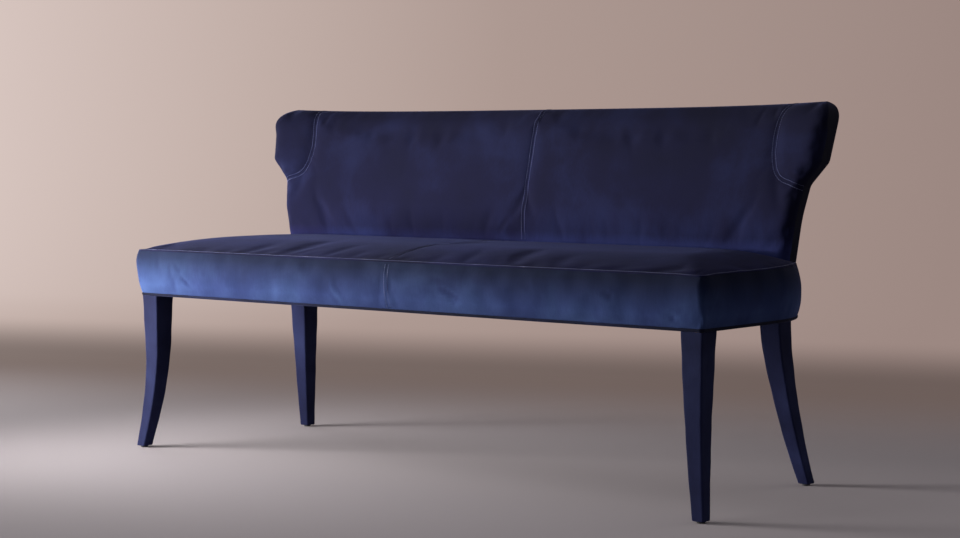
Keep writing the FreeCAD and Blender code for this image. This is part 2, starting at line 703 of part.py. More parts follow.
def rounded_square(centre_x, centre_y, height, half_x, half_y, radius):
    """A level rectangle with round corners, one section of a leg."""
    diagonal = radius * (1 - math.sqrt(0.5))
    edges = []
    turns = ((1, 1), (-1, 1), (-1, -1), (1, -1))
    for index, (along_x, along_y) in enumerate(turns):
        tip = Vector(centre_x + along_x * half_x, centre_y + along_y * half_y, height)
        on_x_side = tip - Vector(0, along_y * radius, 0)
        on_y_side = tip - Vector(along_x * radius, 0, 0)
        middle = tip - Vector(along_x * diagonal, along_y * diagonal, 0)
        start, end = (on_x_side, on_y_side) if index % 2 == 0 else (on_y_side, on_x_side)
        edges.append(arc(start, middle, end))
        next_x, next_y = turns[(index + 1) % 4]
        next_tip = Vector(centre_x + next_x * half_x, centre_y + next_y * half_y, height)
        if index % 2 == 0:
            edges.append(line(end, next_tip - Vector(next_x * radius, 0, 0)))
        else:
            edges.append(line(end, next_tip - Vector(0, next_y * radius, 0)))
    return Part.Wire(edges)


def leg_form(leg, inset):
    """The tapered sabre leg, drawn in by the thickness of its velvet."""
    side, x, y, kick_x, kick_y, kicks = LEGS[leg]
    wires = []
    for down, kick in zip(LEG_HEIGHT_SHARES, kicks):
        width = mm("leg_top_width") + (mm("leg_foot_width") - mm("leg_top_width")) * down
        depth = mm("leg_top_depth") + (mm("leg_foot_width") - mm("leg_top_depth")) * down
        wires.append(rounded_square(
            side * (x + kick_x * kick), y + kick_y * kick, leg_top - (leg_top - foot_height) * down,
            width / 2 - inset, depth / 2 - inset, mm("leg_edge_radius") - inset))
    return Part.makeLoft(wires, True, False)


def leg_bolt_places(leg):
    """Two bolts one behind the other in a front leg, and side by side in a rear leg."""
    side, x, y = LEGS[leg][:3]
    inset = mm("leg_bolt_inset")
    half_spacing = mm("leg_bolt_spacing") / 2
    if "front" in leg:
        return [(side * (x - inset), y + inset + step * half_spacing) for step in (-1, 1)]
    return [(side * x + step * half_spacing, y - inset) for step in (-1, 1)]


bolt_bottom = leg_top - mm("leg_bolt_depth")
recess_floor = rail_top - mm("recess_depth")
nut_floor = recess_floor + mm("washer_thickness")
leg_bolts = []
leg_bolt_holes = []
washers = []
leg_nuts = []
recesses = []
for leg in LEGS:
    for x, y in leg_bolt_places(leg):
        leg_bolts.append(bar("leg_bolt", "Sizes.leg_bolt_radius", "Sizes.leg_bolt_length",
                             Vector(x, y, bolt_bottom), UPWARD))
        leg_bolt_holes.append(bar("leg_bolt_hole", "Sizes.leg_bolt_hole_radius", "Sizes.leg_bolt_hole_length",
                                  Vector(x, y, leg_top - overrun), UPWARD))
        recesses.append(bar("recess", "Sizes.recess_radius", "Sizes.recess_length",
                            Vector(x, y, recess_floor), UPWARD))
        disc = bar("washer_disc", "Sizes.washer_radius", "Sizes.washer_thickness",
                   Vector(x, y, recess_floor), UPWARD)
        bore = bar("washer_bore", "Sizes.leg_bolt_radius", "Sizes.washer_thickness",
                   Vector(x, y, recess_floor), UPWARD)
        washers.append(joined("Part::Cut", "washer", disc, bore))
        hexagon = doc.addObject("Part::Prism", "nut_hexagon")
        hexagon.Polygon = 6
        hexagon.setExpression("Circumradius", "Sizes.nut_reach")
        hexagon.setExpression("Height", "Sizes.nut_height")
        hexagon.Placement.Base = Vector(x, y, nut_floor)
        bore = bar("nut_bore", "Sizes.leg_bolt_radius", "Sizes.nut_height", Vector(x, y, nut_floor), UPWARD)
        leg_nuts.append(joined("Part::Cut", "nut", hexagon, bore))
hole_tools = shapes_of(leg_bolt_holes)
block_tools = Part.makeCompound([hole_tools, shapes_of(recesses), dowel_group])

for name in ("left", "right"):
    piece(f"corner_block_front_{name}", front_blocks[name].cut(block_tools))
    piece(f"end_rail_{name}", end_rail_blanks[name].cut(dowel_group))
group("frame_dowels", dowels)

# Cross rails keep the front and rear rails apart and leave room for the webbing to give
CROSS_RAIL_SHARES = (-0.34, 0.34)
for share, name in zip(CROSS_RAIL_SHARES, ("left", "right")):
    x = seat_half * share
    half_width = mm("rail_thickness") / 2
    blank = box(x - half_width, x + half_width, rail_inner, deep,
                underside, underside + mm("cross_rail_height"))
    piece(f"cross_rail_{name}", blank.cut(back_slice(rear_rail_front - gap, deep, high, underside - overrun)))

# Legs, their velvet sleeves and the glides
glides = []
nails = []
for side, x, y, kick_x, kick_y, kicks in LEGS.values():
    foot = Vector(side * (x + kick_x), y + kick_y, 0)
    disc = bar("glide_disc", "Sizes.glide_radius", "Sizes.glide_height", foot, UPWARD)
    nail = bar("glide_nail", "Sizes.glide_nail_radius", "Sizes.glide_nail_length",
               foot + UPWARD * foot_height, UPWARD)
    doc.recompute()
    rim = doc.addObject("Part::Fillet", "glide_rim")
    rim.Base = disc
    rim.Edges = [(3, mm("glide_rim_radius"), mm("glide_rim_radius"))]
    nails.append(nail)
    glides.append(joined("Part::Fuse", "glide", rim, nail))

bolt_group = Part.makeCompound([shapes_of(leg_bolts), shapes_of(nails)])
for leg in LEGS:
    core = leg_form(leg, skin)
    piece(f"leg_core_{leg}", core.cut(bolt_group))
    piece(f"leg_sleeve_{leg}", leg_form(leg, 0).cut(core))
group("glides", glides)
group("leg_bolts", leg_bolts)
group("leg_washers", washers)
group("leg_nuts", leg_nuts)

# Back frame: five posts bolted behind the rear rail, a top rail, wing panels and a thin rear board
post_slab = back_slice(post_front, post_rear, top_rail_top, underside)
end_post_outer = back_half - wadding_outer
end_post_middle = end_post_outer - mm("end_post_width") / 2
POST_PLACES = {
    "end_left": (-end_post_middle, mm("end_post_width")),
    "left": (-end_post_middle / 2, mm("post_width")),
    "centre": (0, mm("post_width")),
    "right": (end_post_middle / 2, mm("post_width")),
    "end_right": (end_post_middle, mm("end_post_width")),
}
bolt_heights = [underside + (mm("rail_height") + step * mm("back_bolt_spacing")) / 2 for step in (-1, 1)]
head_height = mm("back_bolt_head_height")
nut_depth = mm("barrel_nut_height")
back_bolts = []
back_bolt_room = []
back_nuts = []
for name, (x, width) in POST_PLACES.items():
    # An end post has one bolt, low between the leg bolts of its corner block
    at_block = "end" in name
    bolt_x = math.copysign(rear_leg_x, x) if at_block else x
    seat_face = rear_block_front if at_block else back_face(x) + rear_rail_front
    head_rear = back_face(abs(x) + width / 2 if at_block else x) + post_rear - gap
    nut_front = seat_face - nut_depth
    for height in bolt_heights[:1] if at_block else bolt_heights:
        head_start = Vector(bolt_x, head_rear - head_height, height)
        nut_start = Vector(bolt_x, nut_front, height)
        length = f"{head_rear - nut_front} mm"
        shank = bar("back_bolt_shank", "Sizes.back_bolt_radius", length, nut_start, REARWARD)
        head = bar("back_bolt_head", "Sizes.back_bolt_head_radius", "Sizes.back_bolt_head_height",
                   head_start, REARWARD)
        recess = bar("back_bolt_recess", "Sizes.back_bolt_head_radius",
                     "Sizes.back_bolt_head_height + 2 * Sizes.overrun", head_start, REARWARD)
        flange = bar("back_nut_flange", "Sizes.barrel_nut_radius", "Sizes.barrel_nut_height",
                     nut_start, REARWARD)
        back_bolts.append(joined("Part::Fuse", "back_bolt", shank, head))
        back_bolt_room.extend([shank, recess])
        back_nuts.append(joined("Part::Cut", "back_nut", flange, shank))
back_bolt_tools = shapes_of(back_bolt_room)

piece("rear_rail", rear_rail_blank.cut(dowel_group).cut(back_bolt_tools))
for name in ("left", "right"):
    piece(f"corner_block_rear_{name}", rear_blocks[name].cut(block_tools).cut(back_bolt_tools))
for name, (x, width) in POST_PLACES.items():
    post = post_slab.common(box(x - width / 2, x + width / 2, 0, 2 * deep, underside, top_rail_bottom))
    if "end" in name:
        post = only_solid(post.common(inner_room))
    piece(f"back_post_{name}", post.cut(back_bolt_tools))
piece("back_top_rail", post_slab.common(
    box(-end_post_outer, end_post_outer, 0, 2 * deep, top_rail_bottom, top_rail_top)))
panel_slab = post_slab.common(inner_room)
for side, name in ((-1, "left"), (1, "right")):
    x_span = sorted((side * end_post_outer, side * far))
    piece(f"wing_panel_{name}", only_solid(panel_slab.common(
        box(x_span[0], x_span[1], 0, 2 * deep, mm("back_knee_start"), high))))
piece("back_board", back_slice(board_front, board_rear, top_rail_top, underside).common(inner_room))
group("back_bolts", back_bolts)
group("back_nuts", back_nuts)

strap_slab = back_slice(strap_front, strap_rear, top_rail_top, underside)
straps = []
strap_height = mm("back_webbing_first")
while strap_height + mm("webbing_width") / 2 < top_rail_top:
    straps.append(only_solid(strap_slab.common(
        box(-end_post_outer, end_post_outer, 0, 2 * deep,
            strap_height - mm("webbing_width") / 2, strap_height + mm("webbing_width") / 2))))
    strap_height = strap_height + mm("back_webbing_pitch")
piece("back_webbing", Part.makeCompound(straps))

# Seat webbing: elastic straps from the front rail to the rear rail
strap_count = int((2 * rear_block_inner - mm("webbing_width")) / mm("webbing_pitch")) + 1
straps = []
strap_stop = back_slice(rear_rail_rear, deep, high, underside - overrun)
for index in range(strap_count):
    x = (index - (strap_count - 1) / 2) * mm("webbing_pitch")
    strap = box(x - mm("webbing_width") / 2, x + mm("webbing_width") / 2, rail_outer, deep, rail_top, strap_top)
    straps.append(only_solid(strap.cut(strap_stop)))
piece("seat_webbing", Part.makeCompound(straps))

# Seat upholstery: foam, edge foam, wadding and velvet, each layer inside the next
seat_band_outer = band_form(0)
seat_band_skin = band_form(skin)
seat_crown_outer = crown_form(0)

foam_low = band_form(foam_outer).common(
    box(-far, far, -far, deep, foam_bottom, seam_height - foam_outer))
seat_foam = foam_low.fuse(crown_form(foam_outer)).cut(back_keepout)
piece("seat_foam", only_solid(seat_foam))

edge_core = seat_prism(rail_outer - gap, band_bottom - overrun, foam_bottom + overrun)
edge_foam = band_form(foam_outer).common(box(-far, far, -far, deep, band_bottom, foam_bottom - ease))
piece("seat_edge_foam", only_solid(edge_foam.cut(edge_core).cut(back_keepout)))

wadding_ring = band_form(wadding_outer).cut(band_form(wadding_inner))
wadding_top = crown_form(wadding_outer).cut(crown_form(wadding_inner))
wadding_ring = wadding_ring.common(box(-far, far, -far, deep, band_bottom, seam_height - wadding_outer))
seat_wadding = wadding_ring.fuse(wadding_top).cut(back_keepout)
piece("seat_wadding", only_solid(seat_wadding))

band_shell = seat_band_outer.cut(seat_band_skin).cut(back_keepout)
top_shell = seat_crown_outer.cut(crown_form(skin)).cut(back_keepout)
for side, name in ((-1, "left"), (1, "right")):
    x_span = sorted((0, side * far))
    half_room = box(x_span[0], x_span[1], -far, deep, 0, high)
    piece(f"seat_band_{name}", only_solid(band_shell.common(half_room)))
    piece(f"seat_top_cover_{name}", only_solid(top_shell.common(half_room)))

# Welt under the band, and the dust cover inside it
welt_inset = welt_radius - ease * 2
WELT_HEIGHT_SHARES = (-1.0, -0.85, -0.5, 0.0, 0.5, 0.85, 1.0)
WELT_WIDTH_SHARES = (0.4, 0.65, 0.9, 1.0, 0.9, 0.65, 0.4)


def welt_side(way):
    """The round cord's outer or inner flank, as a body whose outline bulges at mid height."""
    wires = []
    for height_share, width_share in zip(WELT_HEIGHT_SHARES, WELT_WIDTH_SHARES):
        wires.append(seat_outline(welt_height + welt_radius * height_share,
                                  welt_inset + way * welt_radius * width_share, gap))
    return Part.makeLoft(wires, True, False)


piece("seat_welt", only_solid(welt_side(-1).cut(welt_side(1)).cut(back_keepout)))

dust_inset = welt_inset + welt_radius + gap
dust_cover = seat_prism(dust_inset, leg_top, underside)
dust_cover = dust_cover.cut(back_slice(board_front, deep, high, leg_top - overrun))
piece("dust_cover", only_solid(dust_cover.cut(hole_tools)))

# Back upholstery
core_zone = back_slice(strap_front - ease, back_thickness + overrun, top_rail_top + ease, underside - overrun)
foam_form = rounded_back(foam_outer).cut(core_zone).cut(seat_room)
wadding_form = inner_room.cut(rounded_back(wadding_inner)).cut(core_zone).cut(seat_room)
piece("back_wadding", only_solid(wadding_form))

cover_shell = rounded_back(0).cut(rounded_back(skin))
rear_zone = back_slice(back_thickness / 2, back_thickness + overrun, top_rail_top - ease, underside - overrun)
inside_shell = cover_shell.cut(rear_zone).common(prism_cover).cut(seat_room)
outside_shell = cover_shell.common(rear_zone).common(prism_cover)
# Behind the seat the border starts at the rear of the corner block
block_room = seat_room.cut(back_slice(rear_rail_rear + gap, deep, high, underside - overrun))
border_form = cover_shell.cut(prism_cover).cut(block_room)
both_wings = []
for side, name in ((-1, "left"), (1, "right")):
    wing = wing_region(side)
    both_wings.append(wing)
    x_span = sorted((0, side * far))
    half_room = box(x_span[0], x_span[1], 0, 2 * deep, 0, high)
    piece(f"wing_foam_{name}", only_solid(foam_form.common(wing)))
    piece(f"wing_cover_{name}", only_solid(inside_shell.common(wing)))
    piece(f"inside_back_cover_{name}", only_solid(inside_shell.common(half_room).cut(wing)))
    piece(f"outside_back_cover_{name}", only_solid(outside_shell.common(half_room)))
    piece(f"back_end_border_{name}", only_solid(border_form.common(half_room)))
piece("back_foam", only_solid(foam_form.cut(both_wings[0]).cut(both_wings[1])))

doc.recompute()
for item in doc.Objects:
    if "Invalid" in item.State or "Error" in item.State:
        raise RuntimeError(f"{item.Label} failed: {item.State}")
for item in nodes:
    if item.Shape.isNull() or not item.Shape.isValid():
        raise RuntimeError(f"{item.Label} has no valid shape")
for item in nodes:
    item.Shape.exportStep(f"parts/{item.Label}.step")

everything = Part.makeCompound([item.Shape for item in nodes])
bounds = everything.BoundBox
print(len(nodes), "nodes", round(bounds.XLength, 1), round(bounds.YLength, 1), round(bounds.ZLength, 1))
print("y from", round(bounds.YMin, 2), "to", round(bounds.YMax, 2), "z from", round(bounds.ZMin, 2))
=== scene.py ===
import json
import math

import bpy
import numpy as np
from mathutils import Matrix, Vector
from mathutils.bvhtree import BVHTree


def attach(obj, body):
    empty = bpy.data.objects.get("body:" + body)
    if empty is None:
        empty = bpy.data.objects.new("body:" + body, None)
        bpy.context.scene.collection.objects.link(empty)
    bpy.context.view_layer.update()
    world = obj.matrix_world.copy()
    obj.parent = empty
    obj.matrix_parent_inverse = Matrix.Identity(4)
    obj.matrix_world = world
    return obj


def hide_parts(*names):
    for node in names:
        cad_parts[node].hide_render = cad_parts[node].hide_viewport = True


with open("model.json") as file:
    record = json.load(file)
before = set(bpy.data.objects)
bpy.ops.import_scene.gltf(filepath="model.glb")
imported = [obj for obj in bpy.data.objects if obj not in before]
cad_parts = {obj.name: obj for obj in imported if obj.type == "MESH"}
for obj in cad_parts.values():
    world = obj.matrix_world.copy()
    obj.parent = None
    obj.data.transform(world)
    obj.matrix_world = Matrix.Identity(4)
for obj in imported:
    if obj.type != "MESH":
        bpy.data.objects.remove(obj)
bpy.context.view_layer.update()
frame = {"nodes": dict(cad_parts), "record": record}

# Studio: a plain pale floor that curves up into a backdrop. Away from the bench it shows camera and glossy
# rays a glow of painted light, paler on the window's side, and it is see-through from behind, so that it
# hides the bench from no side. A large soft light stands low on the left, as a window would, with weak fills.
# The camera stands where the photograph's did.
FLOOR_COLOUR = "#a89ea0"
# Painted light: colours of the backdrop's glow, palest on the window's side to the left
BACKDROP_PAINTED_LIGHT = (0.0, "#d6c4be"), (0.3, "#c2afa8"), (0.57, "#ad9992"), (1.0, "#9c8882")
WALL_SPAN = -4.5, 0.6
BACKDROP_TURN = math.radians(20)
BACKDROP_HALF = 14.0
FLOOR_FRONT = -9.0
WALL_START = 4.3
WALL_ROUND = 0.9
WALL_TOP = 9.0
GLOW_START = 0.3, 1.7
GLOW_FADE = 1.9, 3.3, 0.46, 1.0
WORLD_COLOUR = "#d9dbe2"
WORLD_LIGHT = 0.28
CAMERA_PLACE = 2.8670, -3.5649, 0.7264
CAMERA_DOWN = 3.443
CAMERA_TURN = 38.616
LENS_MM = 75.0
SENSOR_MM = 36.0


scene = bpy.context.scene


def linear(hex_colour):
    """An sRGB hex colour as linear red, green, blue and alpha."""
    channels = [int(hex_colour[place:place + 2], 16) / 255 for place in (1, 3, 5)]
    return [c / 12.92 if c <= 0.04045 else ((c + 0.055) / 1.055) ** 2.4 for c in channels] + [1.0]


def add_node(tree, kind, inputs=None, **settings):
    """Adds a node, sets its properties, and gives each named input a value or another node's output."""
    made = tree.nodes.new("ShaderNode" + kind)
    for name, value in settings.items():
        setattr(made, name, value)
    for name, value in (inputs or {}).items():
        if isinstance(value, bpy.types.NodeSocket):
            tree.links.new(value, made.inputs[name])
        else:
            made.inputs[name].default_value = value
    return made


def new_material(name):
    """An empty material: itself, its node tree, its output node and the place in the object."""
    material = bpy.data.materials.new(name)
    material.use_nodes = True
    tree = material.node_tree
    tree.nodes.clear()
    output = add_node(tree, "OutputMaterial")
    return material, tree, output, add_node(tree, "TexCoord").outputs["Object"]


def worked(tree, operation, *values):
    """The result of a sum on values."""
    return add_node(tree, "Math", dict(enumerate(values)), operation=operation).outputs[0]


def ranged(tree, value, low, high, to_low=0.0, to_high=1.0, kind="LINEAR"):
    """A value brought from one range to another."""
    return add_node(tree, "MapRange", {
        "Value": value, "From Min": low, "From Max": high, "To Min": to_low, "To Max": to_high},
        interpolation_type=kind).outputs[0]


def ramp(tree, value, colours):
    """A colour found on a ramp, whose colours lie at shares of its length."""
    made = add_node(tree, "ValToRGB", {"Fac": value})
    stops = made.color_ramp.elements
    for number, (share, colour) in enumerate(colours):
        stop = stops[0] if number == 0 else stops[-1] if number == len(colours) - 1 else stops.new(share)
        stop.color = colour
    return made.outputs[0]


def surfaced(tree, output, inputs):
    """Joins a Principled surface to a material's output."""
    surface = add_node(tree, "BsdfPrincipled", inputs)
    tree.links.new(surface.outputs["BSDF"], output.inputs["Surface"])


def placed(name, data):
    """An object in the scene that holds a mesh, a lamp or a camera."""
    made = bpy.data.objects.new(name, data)
    scene.collection.objects.link(made)
    return made


def new_mesh(name, points, faces, *materials):
    """A mesh object at the origin from points and faces."""
    mesh = bpy.data.meshes.new(name)
    mesh.from_pydata([tuple(point) for point in points], [], faces)
    for material in materials:
        mesh.materials.append(material)
    return placed(name, mesh)


def only(piece):
    """Selects one piece alone and makes it active."""
    bpy.ops.object.select_all(action="DESELECT")
    piece.select_set(True)
    bpy.context.view_layer.objects.active = piece
    return piece


def smoothed(piece):
    """Smooth shading on every face."""
    piece.data.polygons.foreach_set("use_smooth", [True] * len(piece.data.polygons))


# Studio floor: matt, and lit by the lamps near the bench; further off, camera and glossy rays see a glow of
# painted light, paler on the window's side, so that the ground behind stays plain
studio, tree, output, place = new_material("studio_floor_painted_glow")
to_side, to_back = math.cos(BACKDROP_TURN), math.sin(BACKDROP_TURN)
along, depth = [add_node(tree, "VectorMath", {0: place, 1: way}, operation="DOT_PRODUCT").outputs["Value"]
                for way in ((to_side, to_back, 0), (-to_back, to_side, 0))]
lit = add_node(tree, "BsdfPrincipled", {"Base Color": linear(FLOOR_COLOUR), "Roughness": 0.85})
painted_light_stops = [(share, linear(colour)) for share, colour in BACKDROP_PAINTED_LIGHT]
wall = ramp(tree, ranged(tree, along, *WALL_SPAN), painted_light_stops)
# Painted light: the backdrop glows in these colours, more strongly further off
painted_glow = add_node(tree, "Emission", {
    "Color": wall, "Strength": ranged(tree, depth, *GLOW_FADE, kind="SMOOTHSTEP")})
rays = add_node(tree, "LightPath").outputs
seen = worked(tree, "MAXIMUM", rays["Is Camera Ray"], rays["Is Glossy Ray"])
far = ranged(tree, depth, *GLOW_START, kind="SMOOTHSTEP")
mixed = add_node(tree, "MixShader", {
    0: worked(tree, "MULTIPLY", seen, far), 1: lit.outputs["BSDF"], 2: painted_glow.outputs["Emission"]})
open_behind = add_node(tree, "MixShader", {
    0: add_node(tree, "NewGeometry").outputs["Backfacing"], 1: mixed.outputs[0],
    2: add_node(tree, "BsdfTransparent").outputs[0]})
tree.links.new(open_behind.outputs[0], output.inputs["Surface"])

profile = [(FLOOR_FRONT, 0.0), (WALL_START, 0.0)]
for turn in np.linspace(0, math.pi / 2, 13)[1:]:
    profile.append((WALL_START + WALL_ROUND * math.sin(turn), WALL_ROUND * (1 - math.cos(turn))))
profile.append((WALL_START + WALL_ROUND, WALL_TOP))
backdrop = [(aside * to_side - run * to_back, aside * to_back + run * to_side, rise)
            for aside in (-BACKDROP_HALF, BACKDROP_HALF) for run, rise in profile]
count = len(profile)
strips = [(k, k + count, k + count + 1, k + 1) for k in range(count - 1)]
floor = new_mesh("studio_floor", backdrop, strips, studio)
smoothed(floor)

world = bpy.data.worlds.new("studio_world")
scene.world = world
world.use_nodes = True
sky = world.node_tree.nodes["Background"].inputs
sky["Color"].default_value = linear(WORLD_COLOUR)
sky["Strength"].default_value = WORLD_LIGHT

for name, place, target, width, height, spread, power in (
        ("key_window", (-3.2, -2.3, 0.95), (-0.1, -0.2, 0.45), 1.5, 1.3, 180, 80),
        ("low_window", (-1.55, -1.15, 0.50), (-0.5, -0.25, 0.75), 0.8, 0.5, 95, 27),
        ("side_window", (-2.6, 0.5, 0.9), (-0.8, 0.0, 0.5), 1.0, 1.2, 180, 8),
        ("top_front", (-1.0, -1.6, 2.8), (-0.1, 0.0, 0.5), 1.8, 1.4, 180, 15),
        ("rear_fill", (2.2, 3.0, 1.9), (0.0, 0.2, 0.5), 2.4, 1.8, 180, 9)):
    lamp = bpy.data.lights.new(name, "AREA")
    lamp.shape, lamp.size, lamp.size_y = "RECTANGLE", width, height
    lamp.spread, lamp.energy = math.radians(spread), power
    holder = placed(name, lamp)
    holder.location = place
    holder.visible_camera = False
    holder.rotation_euler = (Vector(target) - Vector(place)).to_track_quat("-Z", "Y").to_euler()

lens = bpy.data.cameras.new("camera")
lens.sensor_width = SENSOR_MM
lens.lens = LENS_MM
camera = placed("camera", lens)
camera.location = CAMERA_PLACE
camera.rotation_euler = (math.radians(90 - CAMERA_DOWN), 0.0, math.radians(CAMERA_TURN))
scene.camera = camera
scene.view_settings.view_transform = "Standard"

# Seat cushion: foam on webbing, wrapped in wadding and velvet. A boxed band runs round the front and
# the ends, the crowned top is sewn to it, and both are made of a left and a right panel that meet in
# a seam at the middle. The cover is pulled tight at its seams and stands a little proud between them.
MM = 0.001
FRONT_EDGE = -0.29149
SEAT_HALF = 0.802
END_BOW = 0.008
REAR_ROUND = 0.275
REAR_SWEEP = math.radians(47.2)
FRONT_ROUND = 0.009
OUTLINE_DEPTH = 0.555
BAND_LOW = 0.3770
SEAM_HEIGHT = 0.482
FRONT_SWELL = 0.006
FRONT_CROWN = 0.007
END_SWELL = 0.006
CORNER_STAND = 0.0075
CORNER_REACH = 0.045
PUCKER = 0.0009
REAR_TUCK = 0.006
CROWN = 0.029
CROWN_REACH = 0.178
EDGE_SOFT = 0.014
REAR_DROP = 0.005
STEP = 0.009
MERGE = 0.00002


def eased(places, values, at):
    """A smooth curve through values at given places."""
    places, values, at = np.array(places, float), np.array(values, float), np.array(at, float)
    slopes = np.gradient(values, places)
    cell = np.clip(np.searchsorted(places, at) - 1, 0, len(places) - 2)
    run = places[cell + 1] - places[cell]
    u = (at - places[cell]) / run
    return ((1 + 2 * u) * (1 - u) ** 2 * values[cell] + u * (1 - u) ** 2 * run * slopes[cell]
            + u * u * (3 - 2 * u) * values[cell + 1] + u * u * (u - 1) * run * slopes[cell + 1])


def graded(length, fine_start, fine_end, growth=1.35):
    """Shares from 0 to 1 along a length, closer together at either end where a seam or edge needs it."""
    def run_in(fine):
        steps = []
        while fine < STEP:
            steps.append(fine)
            fine = fine * growth
        return steps
    start, end = run_in(fine_start), run_in(fine_end)[::-1]
    rest = length - sum(start) - sum(end)
    middle = max(1, round(rest / STEP))
    steps = start + [rest / middle] * middle + end
    return np.concatenate([[0.0], np.cumsum(steps)]) / length


def runs_along(line):
    """Distance along a line to each of its points."""
    return np.concatenate([[0.0], np.cumsum(np.linalg.norm(np.diff(line, axis=0), axis=1))])


def at_run(place, runs, values):
    """Values at a distance along a line."""
    return np.stack([np.interp(place, runs, values[:, axis]) for axis in range(values.shape[1])], axis=-1)


def resampled(line, shares):
    """Points at shares of a line's length."""
    line = np.array(line, float)
    runs = runs_along(line)
    return at_run(np.array(shares) * runs[-1], runs, line)


def patch(low, high, left, right, along, across):
    """Fills the room between four edges, low and high running along it, left and right across it."""
    s, t = along[None, :, None], across[:, None, None]
    ruled = (1 - t) * low[None] + t * high[None] + (1 - s) * left[:, None] + s * right[:, None]
    corners = (1 - s) * (1 - t) * low[0] + s * (1 - t) * low[-1] + (1 - s) * t * high[0] + s * t * high[-1]
    return ruled - corners


def clear_share(value, start, end):
    """How far a value has come from start to end, from 0 to 1."""
    return np.clip((value - start) / (end - start), 0, 1)


def back_face(x):
    """Depth of the back's face at its base."""
    return 0.480 - 0.057 * (np.abs(x) / SEAT_HALF) ** 2.5


# Right half of the seat's lower edge in plan: point, outward direction, and how much it counts as front
outline = [(x, 0.0, 0.0, -1.0, 1.0) for x in np.linspace(0, SEAT_HALF - FRONT_ROUND, 200)]
corner_middle = len(outline) + 6
for turn in np.linspace(0, math.pi / 2, 13)[1:]:
    outline.append((SEAT_HALF - FRONT_ROUND * (1 - math.sin(turn)), FRONT_ROUND * (1 - math.cos(turn)),
                    math.sin(turn), -math.cos(turn), 1 - turn / (math.pi / 2)))
bow_end = OUTLINE_DEPTH - REAR_ROUND
for y in np.linspace(FRONT_ROUND, bow_end, 80)[1:]:
    rest = 1 - (y - FRONT_ROUND) / (bow_end - FRONT_ROUND)
    outline.append((SEAT_HALF + END_BOW * (1 - rest ** 2), y, 1.0, -2 * END_BOW * rest / bow_end, 0.0))
for turn in np.linspace(0, REAR_SWEEP, 60)[1:]:
    cosine, sine = math.cos(turn), math.sin(turn)
    outline.append((SEAT_HALF + END_BOW - REAR_ROUND * (1 - cosine), bow_end + REAR_ROUND * sine,
                    cosine, sine, 0.0))
outline = np.array(outline)


def band_stand(height_share, edge):
    """How far the band stands out from its lower edge, at a share of its height: swollen between its
    seams, fullest at the front corners, puckered along its foot, and tucked in where it meets the back."""
    def shape(*values):
        return eased((0.0, 0.2, 0.5, 0.8, 1.0), values, height_share)
    x, y, front = edge[:, 0], edge[:, 1], edge[:, 4]
    bow = 1 - (x / SEAT_HALF) ** 2
    near_corner = np.exp(-(np.hypot(SEAT_HALF - x, y) / CORNER_REACH) ** 2)
    run = x + y
    puckers = np.sin(run * 205 + 1.3 * np.sin(run * 23)) * (0.25 + 0.75 * clear_share(run, 0.42, 0.62))
    tuck = REAR_TUCK * clear_share(y, 0.20, 0.35) * clear_share(height_share, 0.5, 1.0) ** 2
    return (front * (FRONT_SWELL * shape(0.0, 0.6, 1.0, 0.95, 0.6)
                     + FRONT_CROWN * shape(0.05, 0.5, 1.0, 0.75, 0.15) * bow
                     + PUCKER * puckers * shape(0.0, 1.0, 0.6, 0.1, 0.0))
            + (1 - front) * END_SWELL * shape(0.0, 0.75, 1.0, 0.85, 0.35)
            + CORNER_STAND * near_corner * shape(0.0, 0.15, 0.5, 0.95, 0.5) - tuck)


def seat_top_height(x, y):
    """Height of the crowned top over a point in plan."""
    x, inner_x = np.abs(x), SEAT_HALF + END_BOW - REAR_ROUND
    end_line = SEAT_HALF + END_BOW * (1 - (1 - clear_share(y, 0, bow_end)) ** 2)
    round_part = REAR_ROUND - np.hypot(x - inner_x, y - bow_end)
    straight_part = np.minimum(end_line - x, OUTLINE_DEPTH - y)
    end_reach = np.where((x > inner_x) & (y > bow_end), round_part, straight_part)
    reach = -EDGE_SOFT * np.log(np.exp(-(y + 0.004) / EDGE_SOFT) + np.exp(-(end_reach + 0.006) / EDGE_SOFT))
    risen = eased((0.0, 0.07, 0.2, 0.4, 0.62, 0.82, 1.0), (0.0, 0.15, 0.34, 0.6, 0.82, 0.95, 1.0),
                  np.clip(reach, 0, CROWN_REACH) / CROWN_REACH)
    drop = REAR_DROP * clear_share(y, 0.38, 0.48) ** 2 * clear_share(x, 0.64, 0.72)
    return SEAM_HEIGHT - drop + CROWN * risen


front_part, end_part = outline[:corner_middle + 1], outline[corner_middle:]
along, across = graded(SEAT_HALF, 0.0025, 0.003), graded(0.54, 0.003, 0.005)
front_edge, end_edge = resampled(front_part, along), resampled(end_part, across)
rear_x = np.concatenate([np.linspace(0, 0.69, 120), [0.705, 0.718, 0.7215]])
rear_y = np.concatenate([back_face(rear_x[:120]) + 0.003, [0.452, 0.470, 0.4815]])
rear_edge = resampled(np.stack([rear_x, rear_y], axis=1), along)
low, right = [edge[:, :2] + edge[:, 2:4] * band_stand(1.0, edge)[:, None] for edge in (front_edge, end_edge)]
rear_edge[-1] = right[-1]
left = resampled(np.array([low[0], rear_edge[0]]), across)
plan = patch(low, rear_edge, left, right, along, across)
heights = seat_top_height(plan[..., 0], plan[..., 1])
edge_heights = np.concatenate([heights[0], heights[1:, -1]])
top_grid = np.concatenate([plan, heights[..., None]], axis=2)
rim = np.concatenate([front_edge, end_edge[1:]])
band_rows, wall_rows = [], []
